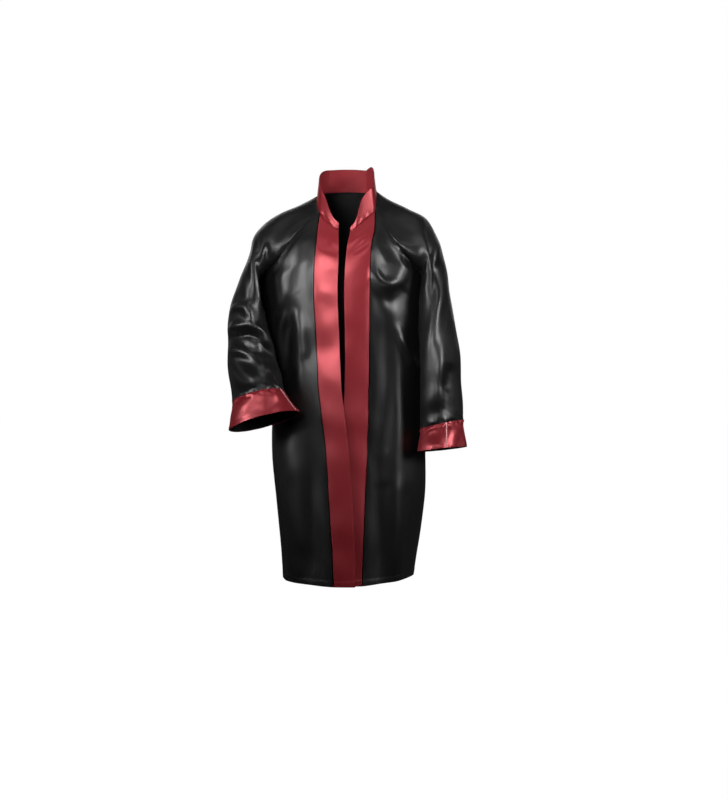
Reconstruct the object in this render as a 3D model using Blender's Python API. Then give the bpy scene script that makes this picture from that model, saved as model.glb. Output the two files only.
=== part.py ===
"""Graduation gown for a child of about nine, hanging as it is worn, front slightly open.

Every cloth piece is a thin wall. One middle surface is worked out first: a torso form for the
front and back panels, tubes for the raglan sleeves and cuffs, and a standing strip for the
collar. The pieces share its points along their seams, so their walls meet edge to edge.
Units are metres. The wearer's right side is at -X, the front faces -Y and up is +Z.
The origin is at the middle of the neckline, at the height of the shoulders.
"""

import math

import bpy
import numpy as np

# Cloth wall, and the gaps at its seams and round the foot of the collar
WALL = 0.0015
SEAM_GAP = 0.0003
COLLAR_GAP = 0.0007

# The bands lie this far out on the fronts
BAND_LIFT = WALL + SEAM_GAP

# A seam's gap is widened where its two sides meet at a crease, up to this cosine
SHARPEST_CREASE = 0.14

# Sides of the body, as the wearer has them
RIGHT = 1
LEFT = -1
SIDE_NAMES = {RIGHT: "right", LEFT: "left"}

# Mesh counts
BAND_COLUMNS = 4
SEAM_COLUMNS = 10
SLEEVE_NECK_COLUMNS = 3
BACK_NECK_COLUMNS = 4
PANEL_ROWS = 28
SLEEVE_ROWS = 20
CUFF_ROWS = 3
COLLAR_ROWS = 3
CURVE_STEPS = 200

# Points closer than this are one point of the middle surface
SHARE_DISTANCE = 0.00001

# Shading turns sharp where two faces meet at more than this, in degrees
SHARP_ANGLE = 50.0

# How square the torso form's rings are: 2 is an ellipse
SQUARENESS = 2.2

# Torso form: half-widths of a ring to each side of X = 0, and its depths from Y = 0
FORM_COLUMNS = ("height", "right", "left", "front", "back")
FORM_ROWS = (
    (0.012, 0.0600, 0.0580, 0.0360, 0.0580),
    (-0.020, 0.0980, 0.0920, 0.0470, 0.0700),
    (-0.045, 0.1340, 0.1220, 0.0595, 0.0830),
    (-0.060, 0.1500, 0.1360, 0.0710, 0.0920),
    (-0.080, 0.1630, 0.1460, 0.0890, 0.1020),
    (-0.100, 0.1710, 0.1510, 0.1040, 0.1100),
    (-0.130, 0.1765, 0.1530, 0.1170, 0.1180),
    (-0.165, 0.1772, 0.1478, 0.1235, 0.1220),
    (-0.185, 0.1772, 0.1473, 0.1250, 0.1220),
    (-0.210, 0.1762, 0.1466, 0.1265, 0.1210),
    (-0.250, 0.1678, 0.1462, 0.1270, 0.1190),
    (-0.300, 0.1590, 0.1475, 0.1260, 0.1180),
    (-0.360, 0.1530, 0.1515, 0.1260, 0.1180),
    (-0.430, 0.1530, 0.1540, 0.1280, 0.1220),
    (-0.484, 0.1560, 0.1570, 0.1300, 0.1260),
    (-0.530, 0.1550, 0.1580, 0.1320, 0.1280),
    (-0.617, 0.1470, 0.1565, 0.1360, 0.1340),
    (-0.700, 0.1380, 0.1460, 0.1400, 0.1390),
    (-0.790, 0.1310, 0.1320, 0.1430, 0.1430),
)

# Front edges and the widths of the bands along them, seen from the front
EDGE_COLUMNS = ("height", "right_x", "right_band", "left_x", "left_band")
EDGE_ROWS = (
    (-0.040, -0.0185, 0.0375, 0.0060, 0.0490),
    (-0.080, -0.0180, 0.0425, 0.0062, 0.0475),
    (-0.110, -0.0175, 0.0450, 0.0000, 0.0480),
    (-0.143, -0.0178, 0.0480, -0.0035, 0.0495),
    (-0.202, -0.0196, 0.0475, -0.0061, 0.0510),
    (-0.291, -0.0165, 0.0460, -0.0048, 0.0490),
    (-0.361, -0.0135, 0.0455, -0.0045, 0.0480),
    (-0.400, -0.0115, 0.0455, -0.0055, 0.0485),
    (-0.440, -0.0066, 0.0455, -0.0070, 0.0490),
    (-0.529, 0.0033, 0.0455, -0.0095, 0.0495),
    (-0.628, 0.0102, 0.0465, -0.0145, 0.0495),
    (-0.737, 0.0152, 0.0446, -0.0185, 0.0495),
    (-0.792, 0.0152, 0.0420, -0.0200, 0.0495),
)

# Neckline across the top of each band, from the front edge (0) to the raglan seam (1)
NECKLINE_COLUMNS = ("share", "right", "left")
NECKLINE_ROWS = (
    (0.00, -0.0790, -0.0830),
    (0.25, -0.0730, -0.0735),
    (0.50, -0.0650, -0.0625),
    (0.75, -0.0550, -0.0510),
    (1.00, -0.0435, -0.0390),
)

# Neckline across the back: the turn of its ends in degrees from the front centre, and its
# heights there and at the back centre
BACK_NECK_TURN = 140.0
BACK_NECK_HEIGHTS = (0.009, 0.012)

# Where the over-arm seam of a sleeve starts at the side of the neck
NECK_POINTS = {RIGHT: (-0.0628, -0.005, -0.0076), LEFT: (0.0575, -0.005, 0.0062)}

# Raglan seams from the neckline to the underarm point, on the torso form
SEAM_TABLE_COLUMNS = ("turn", "height")
FRONT_SEAMS = {
    RIGHT: ((33.7, -0.074), (41.0, -0.102), (51.0, -0.137), (70.0, -0.170), (90.0, -0.185)),
    LEFT: ((30.0, -0.076), (40.6, -0.110), (49.5, -0.130), (66.0, -0.153), (90.0, -0.171)),
}
BACK_SEAMS = {
    RIGHT: ((137.0, -0.020), (137.0, -0.052), (133.0, -0.090), (124.0, -0.130),
            (108.0, -0.166), (90.0, -0.185)),
    LEFT: ((137.0, -0.018), (137.0, -0.048), (133.0, -0.084), (124.0, -0.121),
           (108.0, -0.151), (90.0, -0.171)),
}

# Hem height by the turn in degrees, from the front centre round by the wearer's right
HEM_COLUMNS = ("turn", "height")
HEM_ROWS = ((0.0, -0.790), (90.0, -0.782), (180.0, -0.788), (270.0, -0.774), (360.0, -0.790))

# How far the fronts part where the wearer's right one laps over the left one
LAP_SHIFT = {RIGHT: -0.0050, LEFT: 0.0020}
LAP_HEIGHTS = (-0.310, -0.390)
LAP_REACH = (0.045, 0.110)

# Sleeve rings. The outer and inner ends are the ring's outline from the front.
# The last row is the cuff's lower edge and the row before it the seam above the cuff.
SLEEVE_COLUMNS = ("outer_x", "outer_z", "inner_x", "inner_z", "mid_y", "half_depth",
                  "lean", "rise", "twist")
SLEEVE_TABLES = {
    RIGHT: (
        (-0.0628, -0.0076, -0.1772, -0.1850, -0.003, 0.080, 0.002, 0.000, 0.0),
        (-0.1054, -0.0275, -0.1825, -0.1875, -0.003, 0.080, 0.002, 0.000, 0.0),
        (-0.1370, -0.0400, -0.1845, -0.1925, -0.005, 0.078, 0.004, 0.000, 5.0),
        (-0.1680, -0.0600, -0.1840, -0.2000, -0.012, 0.076, 0.010, 0.000, 12.0),
        (-0.1900, -0.0850, -0.1812, -0.2090, -0.017, 0.075, 0.013, 0.000, 16.0),
        (-0.1990, -0.1200, -0.1762, -0.2215, -0.023, 0.075, 0.017, 0.000, 20.0),
        (-0.2200, -0.1750, -0.1695, -0.2420, -0.031, 0.076, 0.020, 0.002, 28.0),
        (-0.2360, -0.2180, -0.1625, -0.2640, -0.036, 0.077, 0.022, 0.004, 40.0),
        (-0.2430, -0.2560, -0.1560, -0.2880, -0.043, 0.076, 0.024, 0.007, 58.0),
        (-0.2440, -0.3190, -0.1480, -0.3160, -0.052, 0.070, 0.024, 0.010, 80.0),
        (-0.2440, -0.3505, -0.1420, -0.3440, -0.060, 0.066, 0.018, 0.012, 105.0),
        (-0.2350, -0.3930, -0.1330, -0.3680, -0.088, 0.063, 0.012, 0.013, 130.0),
        (-0.2290, -0.4270, -0.1250, -0.4020, -0.114, 0.060, 0.006, 0.013, 150.0),
        (-0.2330, -0.4800, -0.0950, -0.4440, -0.138, 0.048, 0.000, 0.012, 156.0),
    ),
    LEFT: (
        (0.0575, 0.0062, 0.1476, -0.1710, -0.003, 0.080, 0.002, 0.000, 0.0),
        (0.0840, -0.0125, 0.1525, -0.1730, -0.005, 0.080, 0.004, 0.000, 0.0),
        (0.1236, -0.0305, 0.1545, -0.1775, -0.008, 0.078, 0.007, 0.000, 4.0),
        (0.1589, -0.0485, 0.1540, -0.1845, -0.012, 0.076, 0.010, 0.000, 9.0),
        (0.1815, -0.0860, 0.1515, -0.1925, -0.016, 0.075, 0.013, 0.000, 20.0),
        (0.1965, -0.1340, 0.1478, -0.2100, -0.023, 0.076, 0.016, 0.000, 32.0),
        (0.2100, -0.2165, 0.1447, -0.2460, -0.035, 0.078, 0.020, 0.000, 50.0),
        (0.2195, -0.2747, 0.1445, -0.2900, -0.045, 0.077, 0.022, 0.000, 68.0),
        (0.2290, -0.3380, 0.1465, -0.3450, -0.056, 0.075, 0.022, 0.002, 80.0),
        (0.2290, -0.3840, 0.1475, -0.3900, -0.062, 0.072, 0.020, 0.003, 84.0),
        (0.2325, -0.4300, 0.1465, -0.4350, -0.068, 0.070, 0.018, 0.004, 84.0),
        (0.2330, -0.4600, 0.1455, -0.4780, -0.074, 0.068, 0.016, 0.004, 82.0),
        (0.2385, -0.5140, 0.1410, -0.5230, -0.080, 0.066, 0.014, 0.004, 82.0),
    ),
}

# How far down a sleeve its rings still take the raglan seam's shape
SEAM_SHAPE_REACH = 0.09

# Share of a panel's length in which its columns settle from the seam's spacing to an even one
SETTLE_REACH = 0.45

# Collar height by the share of the neckline, from the wearer's right front end to the left
COLLAR_COLUMNS = ("share", "height")
COLLAR_HEIGHTS = (
    (0.000, 0.014), (0.035, 0.020), (0.065, 0.031), (0.095, 0.042), (0.130, 0.047),
    (0.260, 0.047), (0.500, 0.046), (0.740, 0.047), (0.865, 0.050), (0.900, 0.049),
    (0.930, 0.042), (0.955, 0.024), (0.975, 0.013), (1.000, 0.009),
)
COLLAR_INWARD = 0.12
COLLAR_CENTRE = (0.0, -0.012)

# The largest folds, as soft ridges (height above 0) and troughs (below 0). Each runs between
# two points seen from the front (face 1) or from the back (face -1), bowed to one side.
FOLD_COLUMNS = ("face", "from_x", "from_z", "to_x", "to_z", "bow", "half_width", "height")
BODY_FOLDS = (
    (1, -0.123, -0.235, -0.135, -0.390, 0.004, 0.016, -0.0070),
    (1, -0.098, -0.255, -0.092, -0.420, 0.003, 0.018, 0.0060),
    (1, 0.052, -0.160, 0.084, -0.195, -0.004, 0.012, 0.0050),
    (1, 0.084, -0.195, 0.120, -0.140, -0.006, 0.013, 0.0060),
    (1, 0.104, -0.280, 0.132, -0.360, 0.002, 0.010, 0.0040),
    (1, 0.070, -0.230, 0.078, -0.520, 0.000, 0.020, -0.0050),
    (1, -0.118, -0.450, -0.112, -0.780, 0.000, 0.020, 0.0050),
    (1, -0.075, -0.520, -0.070, -0.785, 0.000, 0.018, -0.0050),
    (1, 0.062, -0.500, 0.066, -0.785, 0.000, 0.018, -0.0060),
    (1, 0.100, -0.430, 0.096, -0.785, 0.000, 0.020, 0.0060),
    (-1, -0.060, -0.090, -0.085, -0.500, 0.006, 0.022, 0.0060),
    (-1, -0.018, -0.120, -0.030, -0.780, 0.000, 0.022, -0.0060),
    (-1, 0.022, -0.080, 0.024, -0.780, 0.004, 0.020, 0.0060),
    (-1, 0.070, -0.130, 0.078, -0.780, 0.000, 0.022, -0.0060),
    (-1, -0.104, -0.300, -0.098, -0.785, 0.000, 0.020, -0.0050),
    (-1, 0.110, -0.260, 0.112, -0.780, 0.000, 0.018, 0.0050),
)
SLEEVE_FOLDS = {
    RIGHT: (
        (1, -0.178, -0.080, -0.170, -0.165, 0.000, 0.011, 0.0040),
        (1, -0.196, -0.120, -0.178, -0.245, 0.004, 0.012, 0.0050),
        (1, -0.231, -0.235, -0.190, -0.262, 0.014, 0.011, 0.0060),
        (1, -0.240, -0.280, -0.150, -0.300, 0.016, 0.010, 0.0060),
        (1, -0.240, -0.295, -0.150, -0.330, 0.018, 0.010, -0.0060),
        (1, -0.238, -0.320, -0.158, -0.372, 0.018, 0.012, 0.0060),
        (-1, -0.240, -0.250, -0.170, -0.270, -0.010, 0.012, -0.0050),
        (-1, -0.242, -0.285, -0.165, -0.310, -0.010, 0.012, 0.0050),
        (-1, -0.200, -0.110, -0.205, -0.230, 0.004, 0.014, 0.0040),
    ),
    LEFT: (
        (1, 0.166, -0.060, 0.172, -0.230, 0.000, 0.010, -0.0040),
        (1, 0.184, -0.100, 0.172, -0.150, 0.000, 0.010, 0.0040),
        (1, 0.186, -0.310, 0.178, -0.425, 0.000, 0.011, 0.0050),
        (1, 0.205, -0.355, 0.196, -0.400, 0.000, 0.012, -0.0045),
        (-1, 0.190, -0.110, 0.196, -0.260, 0.000, 0.014, 0.0045),
        (-1, 0.215, -0.260, 0.175, -0.330, -0.008, 0.013, -0.0050),
        (-1, 0.210, -0.330, 0.205, -0.440, 0.000, 0.013, 0.0045),
    ),
}

# A fold fades in as the cloth turns to face its side, over this much of its normal
FOLD_FACING = 0.45
# and past its ends, over this share of its length
FOLD_END = 0.25
# and below a seam that two pieces share, over this distance
SEAM_FADE = 0.035

# Cloth colours and finish: base colour, roughness
CLOTH_LOOKS = {
    "black_satin": ((0.010, 0.010, 0.011), 0.38),
    "red_satin": ((0.330, 0.040, 0.055), 0.36),
}


class Curves:
    """Smooth curves through the rows of a table, one for each named column."""

    def __init__(self, names, rows, knots=None):
        data = np.array(rows, dtype=float)
        if knots is None:
            knots = data[:, 0]
        order = np.argsort(knots)
        self.knots = np.asarray(knots, dtype=float)[order]
        self.values = {name: data[order, i] for i, name in enumerate(names)}

    def at(self, name, where):
        """Cubic Hermite value, held constant past either end of the table."""
        knots = self.knots
        values = self.values[name]
        where = np.clip(np.asarray(where, dtype=float), knots[0], knots[-1])
        slopes = np.gradient(values, knots)
        cell = np.clip(np.searchsorted(knots, where, side="right") - 1, 0, len(knots) - 2)
        span = knots[cell + 1] - knots[cell]
        t = (where - knots[cell]) / span
        start = values[cell] * (2 * t**3 - 3 * t**2 + 1) + slopes[cell] * span * (t**3 - 2 * t**2 + t)
        end = values[cell + 1] * (3 * t**2 - 2 * t**3) + slopes[cell + 1] * span * (t**3 - t**2)
        return start + end


FORM = Curves(FORM_COLUMNS, FORM_ROWS)
EDGE = Curves(EDGE_COLUMNS, EDGE_ROWS)
NECKLINE = Curves(NECKLINE_COLUMNS, NECKLINE_ROWS)
HEM = Curves(HEM_COLUMNS, HEM_ROWS)
COLLAR = Curves(COLLAR_COLUMNS, COLLAR_HEIGHTS)


def smoothstep(low, high, value):
    """0 at low, 1 at high and a soft change between them."""
    t = np.clip((np.asarray(value, dtype=float) - low) / (high - low), 0.0, 1.0)
    return t * t * (3.0 - 2.0 * t)


def signed_power(value, power):
    return np.sign(value) * np.abs(value) ** power


def unit(vectors):
    lengths = np.linalg.norm(vectors, axis=-1, keepdims=True)
    return vectors / np.maximum(lengths, 1e-12)


def resample(points, count):
    """Points spaced evenly along a polyline, count + 1 of them."""
    steps = np.linalg.norm(np.diff(points, axis=0), axis=1)
    distance = np.concatenate(([0.0], np.cumsum(steps)))
    wanted = np.linspace(0.0, distance[-1], count + 1)
    return np.stack([np.interp(wanted, distance, points[:, i]) for i in range(points.shape[1])], axis=1)


def form_point(side, turn, height):
    """Point of the torso form at a turn from the front centre towards one side."""
    across = np.sin(turn)
    along = np.cos(turn)
    same_side = across >= 0
    near = FORM.at(SIDE_NAMES[side], height)
    far = FORM.at(SIDE_NAMES[-side], height)
    half_width = np.where(same_side, near, far)
    depth = np.where(along >= 0, FORM.at("front", height), FORM.at("back", height))
    x = -side * half_width * signed_power(across, 2.0 / SQUARENESS)
    y = -depth * signed_power(along, 2.0 / SQUARENESS)
    return np.stack(np.broadcast_arrays(x, y, height), axis=-1)


def turn_at(side, x, height):
    """Turn at which the front of the torso form has this X."""
    outward = -side * x
    near = FORM.at(SIDE_NAMES[side], height)
    far = FORM.at(SIDE_NAMES[-side], height)
    share = outward / np.where(outward >= 0, near, far)
    return np.arcsin(np.clip(signed_power(share, SQUARENESS / 2.0), -1.0, 1.0))


def band_turn(side, share, height):
    """Turn of a line that runs down a band, from its front edge (0) to its outer edge (1)."""
    name = SIDE_NAMES[side]
    x = EDGE.at(name + "_x", height) - side * share * EDGE.at(name + "_band", height)
    return turn_at(side, x, height)


def hem_height(side, turn):
    """Height of the hem at a turn from the front centre towards one side."""
    degrees = np.degrees(turn)
    round_turn = degrees if side == RIGHT else 360.0 - degrees
    return HEM.at("height", np.clip(round_turn, 0.0, 360.0))


def seam_polyline(start, rows):
    """A raglan seam as turns and heights, from its upper end to the underarm."""
    table = np.array((start,) + tuple((math.radians(turn), height) for turn, height in rows))
    curves = Curves(SEAM_TABLE_COLUMNS, table, knots=np.arange(len(table)))
    where = np.linspace(0.0, len(table) - 1.0, CURVE_STEPS)
    return np.stack([curves.at("turn", where), curves.at("height", where)], axis=1)


def even_on_form(side, turns_heights, count):
    """Turns and heights of points spaced evenly along a line on the torso form."""
    points = form_point(side, turns_heights[:, 0], turns_heights[:, 1])
    joined = np.concatenate([points, turns_heights], axis=1)
    return resample(joined, count)[:, 3:]


def front_top(side):
    """Top edge of a front panel: neckline over the band, then the raglan seam."""
    share = np.linspace(0.0, 1.0, BAND_COLUMNS + 1)
    heights = NECKLINE.at(SIDE_NAMES[side], share)
    turns = band_turn(side, share, heights)
    neck = np.stack([turns, heights], axis=1)
    seam = even_on_form(side, seam_polyline(tuple(neck[-1]), FRONT_SEAMS[side]), SEAM_COLUMNS)
    return neck, seam


def back_top(side):
    """Top edge of half the back panel: raglan seam up from the underarm, then the neckline."""
    neck_start = (math.radians(BACK_NECK_TURN), BACK_NECK_HEIGHTS[0])
    seam = even_on_form(side, seam_polyline(neck_start, BACK_SEAMS[side]), SEAM_COLUMNS)[::-1]
    share = np.linspace(0.0, 1.0, BACK_NECK_COLUMNS + 1)
    turns = neck_start[0] + (math.pi - neck_start[0]) * share
    side_height, centre_height = BACK_NECK_HEIGHTS
    heights = side_height + (centre_height - side_height) * np.sin(share * math.pi / 2)
    neck = np.stack([turns, heights], axis=1)
    return seam, neck


def panel_heights(top_heights, hem_heights):
    down = np.linspace(0.0, 1.0, PANEL_ROWS + 1)[:, None]
    return top_heights[None, :] * (1.0 - down) + hem_heights[None, :] * down


def settle_share(top_share, even_share):
    """Columns start where they meet the seam and settle to an even spacing further down."""
    down = np.linspace(0.0, 1.0, PANEL_ROWS + 1)[:, None]
    hold = 1.0 - smoothstep(0.0, SETTLE_REACH, down)
    return even_share[None, :] + (top_share - even_share)[None, :] * hold


def lap(side, points):
    """Moves the front edges apart where one front lies over the other."""
    deep = 1.0 - smoothstep(LAP_HEIGHTS[1], LAP_HEIGHTS[0], points[..., 2])
    near_edge = 1.0 - smoothstep(LAP_REACH[0], LAP_REACH[1], np.abs(points[..., 0]))
    points[..., 1] += LAP_SHIFT[side] * deep * near_edge
    return points


def front_grid(side):
    """Middle surface of a front panel: rows from the top to the hem, columns to the side seam."""
    neck, seam = front_top(side)
    top = np.concatenate([neck, seam[1:]])
    band_share = np.linspace(0.0, 1.0, BAND_COLUMNS + 1)
    even = np.concatenate([np.zeros(BAND_COLUMNS + 1), np.linspace(0.0, 1.0, SEAM_COLUMNS + 1)[1:]])
    band_edge_top = band_turn(side, 1.0, top[:, 1])
    top_share = (top[:, 0] - band_edge_top) / (math.pi / 2 - band_edge_top)
    top_share[:BAND_COLUMNS + 1] = 0.0
    lowest = float(hem_height(side, 0.0))
    hem_start = band_turn(side, 1.0, lowest)
    hem_turns = hem_start + (math.pi / 2 - hem_start) * even
    heights = panel_heights(top[:, 1], hem_height(side, hem_turns))
    shares = settle_share(top_share, even)
    outer = band_turn(side, 1.0, heights)
    turns = outer + (math.pi / 2 - outer) * shares
    band = band_turn(side, band_share[None, :], heights[:, :BAND_COLUMNS + 1])
    turns[:, :BAND_COLUMNS + 1] = band
    return lap(side, form_point(side, turns, heights))


def back_half(side):
    """Middle surface of half the back panel, columns from the side seam to the back centre."""
    seam, neck = back_top(side)
    top = np.concatenate([seam, neck[1:]])
    even = np.linspace(0.0, 1.0, SEAM_COLUMNS + BACK_NECK_COLUMNS + 1)
    top_share = (top[:, 0] - math.pi / 2) / (math.pi / 2)
    heights = panel_heights(top[:, 1], hem_height(side, math.pi / 2 * (1.0 + even)))
    turns = math.pi / 2 * (1.0 + settle_share(top_share, even))
    return form_point(side, turns, heights)


def neck_side(side, front_end, back_end):
    """Neckline over the sleeve: points from the front seam to the back one by the neck point."""
    u = np.linspace(0.0, 1.0, 2 * SLEEVE_NECK_COLUMNS + 1)[:, None]
    middle = np.array(NECK_POINTS[side])
    return (front_end * 2 * (u - 0.5) * (u - 1.0) - middle * 4 * u * (u - 1.0)
            + back_end * 2 * u * (u - 0.5))


def armhole_loop(side):
    """Upper end of a sleeve, from the neck point round the front, the underarm and the back."""
    front = form_point(side, *front_top(side)[1].T)
    back = form_point(side, *back_top(side)[0].T)
    neck = neck_side(side, front[0], back[-1])
    middle = SLEEVE_NECK_COLUMNS
    return np.concatenate([neck[middle::-1], front[1:], back[1:], neck[:middle - 1:-1][1:]])


def sleeve_curves(side):
    """Curves through the sleeve's table, by the distance along the middle of the sleeve."""
    rows = np.array(SLEEVE_TABLES[side])
    centres = np.stack([rows[:, 0] + rows[:, 2], 2 * rows[:, 4], rows[:, 1] + rows[:, 3]], axis=1) / 2
    steps = np.linalg.norm(np.diff(centres, axis=0), axis=1)
    distance = np.concatenate(([0.0], np.cumsum(steps)))
    return Curves(SLEEVE_COLUMNS, rows, knots=distance), distance


def sleeve_ring(curves, where, turns):
    """Ring of a sleeve at a distance along it. Turn 0 is its outer end, a right angle its front."""
    value = {name: float(curves.at(name, where)) for name in SLEEVE_COLUMNS}
    turns = turns + math.radians(value["twist"])
    middle = np.array([value["outer_x"] + value["inner_x"], 2 * value["mid_y"],
                       value["outer_z"] + value["inner_z"]]) / 2
    outward = np.array([value["outer_x"] - value["inner_x"], 2 * value["lean"],
                        value["outer_z"] - value["inner_z"]]) / 2
    forward = np.array([0.0, -value["half_depth"], value["rise"]])
    return middle + np.cos(turns)[:, None] * outward + np.sin(turns)[:, None] * forward


def sleeve_grids(side):
    """Middle surfaces of a sleeve and its cuff, as rows of rings."""
    curves, distance = sleeve_curves(side)
    loop = armhole_loop(side)
    turns = np.linspace(0.0, 2 * math.pi, len(loop))
    misfit = loop - sleeve_ring(curves, 0.0, turns)
    rings = []
    for where in np.linspace(0.0, distance[-2], SLEEVE_ROWS + 1):
        hold = 1.0 - float(smoothstep(0.0, SEAM_SHAPE_REACH, where))
        rings.append(sleeve_ring(curves, where, turns) + misfit * hold)
    rings[0] = loop
    cuff = [sleeve_ring(curves, where, turns)
            for where in np.linspace(distance[-2], distance[-1], CUFF_ROWS + 1)]
    cuff[0] = rings[-1]
    return np.array(rings), np.array(cuff)


def collar_grid(neckline):
    """Middle surface of the collar: rows from its top edge down to the neckline."""
    steps = np.linalg.norm(np.diff(neckline, axis=0), axis=1)
    share = np.concatenate(([0.0], np.cumsum(steps))) / steps.sum()
    height = COLLAR.at("height", share)[:, None]
    inward = np.array(COLLAR_CENTRE)[None, :] - neckline[:, :2]
    rise = np.concatenate([unit(inward) * COLLAR_INWARD, np.ones((len(neckline), 1))], axis=1)
    levels = 1.0 - np.arange(COLLAR_ROWS + 1) / COLLAR_ROWS
    return np.array([neckline + rise * height * level for level in levels])


def middle_surface():
    """Grids of the middle surface by name, and the sign that turns each one's normals out."""
    grids = {}
    signs = {}
    for side, name in SIDE_NAMES.items():
        sleeve, cuff = sleeve_grids(side)
        grids["front_" + name] = front_grid(side)
        grids["sleeve_" + name] = sleeve
        grids["cuff_" + name] = cuff
        signs["front_" + name] = side
        signs["sleeve_" + name] = -side
        signs["cuff_" + name] = -side
    right_back = back_half(RIGHT)
    left_back = back_half(LEFT)[:, ::-1]
    grids["back"] = np.concatenate([right_back, left_back[:, 1:]], axis=1)
    signs["back"] = 1
    middle = SLEEVE_NECK_COLUMNS
    right_loop = grids["sleeve_right"][0]
    left_loop = grids["sleeve_left"][0]
    back_neck = grids["back"][0, SEAM_COLUMNS:-SEAM_COLUMNS]
    neckline = np.concatenate([
        grids["front_right"][0, :BAND_COLUMNS + 1],
        right_loop[middle - 1::-1], right_loop[-2:-middle - 2:-1],
        back_neck[1:],
        left_loop[-middle:], left_loop[1:middle + 1],
        grids["front_left"][0, BAND_COLUMNS - 1::-1]])
    grids["collar"] = collar_grid(neckline)
    signs["collar"] = 1
    return grids, signs


def face_normals(grid, sign):
    """Outward normal of every cell of a grid, as long as the cell is large."""
    across = grid[:-1, 1:] - grid[1:, :-1]
    down = grid[1:, 1:] - grid[:-1, :-1]
    return np.cross(across, down) * sign


def own_normals(grid, sign):
    """Outward normals of a grid's points, from this piece alone."""
    normal = face_normals(grid, sign)
    total = np.zeros(grid.shape)
    for rows in (np.s_[:-1], np.s_[1:]):
        for columns in (np.s_[:-1], np.s_[1:]):
            total[rows, columns] += normal
    return unit(total)


def shared_normals(grids, signs):
    """Outward normals of every grid's points. Pieces that share a point share its normal too,
    which halves the angle between them."""
    keys = {}
    numbers = {}
    for name, grid in grids.items():
        rounded = np.round(grid.reshape(-1, 3) / SHARE_DISTANCE).astype(int)
        numbers[name] = np.array([keys.setdefault(tuple(key), len(keys)) for key in rounded])
    total = np.zeros((len(keys), 3))
    for name, grid in grids.items():
        np.add.at(total, numbers[name], own_normals(grid, signs[name]).reshape(-1, 3))
    return {name: unit(total[numbers[name]]).reshape(grid.shape) for name, grid in grids.items()}


def fold_height(points, normals, folds):
    """How far the folds lift the middle surface along its normal."""
    lift = np.zeros(points.shape[:-1])
    for row in folds:
        fold = dict(zip(FOLD_COLUMNS, row))
        start = np.array([fold["from_x"], fold["from_z"]])
        run = np.array([fold["to_x"], fold["to_z"]]) - start
        length = np.linalg.norm(run)
        run = run / length
        offset = points[..., [0, 2]] - start
        along = (offset @ run) / length
        inside = np.clip(along, 0.0, 1.0)
        sideways = offset @ np.array([-run[1], run[0]]) - fold["bow"] * 4.0 * inside * (1.0 - inside)
        taper = smoothstep(-FOLD_END, FOLD_END, along) * smoothstep(-FOLD_END, FOLD_END, 1.0 - along)
        facing = smoothstep(0.0, FOLD_FACING, -normals[..., 1] * fold["face"])
        lift += fold["height"] * np.exp(-(sideways / fold["half_width"]) ** 2) * taper * facing
    return lift


def seam_fade(grid):
    """0 on a grid's top row and 1 from a short way below it, so that shared seams stay put."""
    steps = np.linalg.norm(np.diff(grid, axis=0), axis=2)
    below = np.concatenate([np.zeros((1, grid.shape[1])), np.cumsum(steps, axis=0)])
    return smoothstep(0.0, SEAM_FADE, below)


def folded(grids, normals):
    """The middle surface with its folds. Points that two pieces share move alike."""
    folds = {"front_right": BODY_FOLDS, "front_left": BODY_FOLDS, "back": BODY_FOLDS}
    for side, name in SIDE_NAMES.items():
        folds["sleeve_" + name] = SLEEVE_FOLDS[side]
        folds["cuff_" + name] = SLEEVE_FOLDS[side]
    result = dict(grids)
    for name, rows in folds.items():
        lift = fold_height(grids[name], normals[name], rows)
        if not name.startswith("cuff"):
            lift *= seam_fade(grids[name])
        result[name] = grids[name] + normals[name] * lift[..., None]
    return result


def pull_in(grid, sign, normals, gap):
    """Moves a piece's edges in along its surface by half a seam's gap, more at a sharp crease."""
    own = own_normals(grid, sign)
    flat_share = np.maximum(np.sum(own * normals, axis=2, keepdims=True), SHARPEST_CREASE)
    reach = gap / 2 / flat_share
    moved = grid.copy()
    edges = ((np.s_[0, :], np.s_[1, :]), (np.s_[-1, :], np.s_[-2, :]),
             (np.s_[:, 0], np.s_[:, 1]), (np.s_[:, -1], np.s_[:, -2]))
    for edge, inner in edges:
        tangent = unit(np.gradient(grid[edge], axis=0))
        inward = unit(np.cross(own[edge], tangent))
        facing = np.sign(np.sum(inward * (grid[inner] - grid[edge]), axis=1, keepdims=True))
        moved[edge] += inward * facing * reach[edge]
    return moved


def wall_mesh(grid, normals, sign, offset):
    """Points and faces of a closed wall on a grid, its middle moved out by an offset."""
    rows, columns = grid.shape[:2]
    outer = grid + normals * (offset + WALL / 2)
    inner = grid + normals * (offset - WALL / 2)
    points = np.concatenate([outer.reshape(-1, 3), inner.reshape(-1, 3)])
    number = np.arange(rows * columns).reshape(rows, columns)
    under = number + rows * columns
    faces = []
    for i in range(rows - 1):
        for j in range(columns - 1):
            faces.append((number[i, j], number[i, j + 1], number[i + 1, j + 1], number[i + 1, j]))
            faces.append((under[i, j], under[i + 1, j], under[i + 1, j + 1], under[i, j + 1]))
    rim = np.concatenate([number[0, :], number[1:, -1], number[-1, -2::-1], number[-2:0:-1, 0]])
    following = np.roll(rim, -1)
    under_rim = rim + rows * columns
    under_following = following + rows * columns
    faces.extend(zip(following, rim, under_rim, under_following))
    if sign < 0:
        faces = [tuple(reversed(face)) for face in faces]
    return points, [tuple(int(i) for i in face) for face in faces]


def cloth_material(name):
    color, roughness = CLOTH_LOOKS[name]
    material = bpy.data.materials.get(name) or bpy.data.materials.new(name)
    material.use_nodes = True
    shader = material.node_tree.nodes["Principled BSDF"]
    shader.inputs["Base Color"].default_value = (*color, 1.0)
    shader.inputs["Roughness"].default_value = roughness
    shader.inputs["Metallic"].default_value = 0.0
    return material


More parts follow.
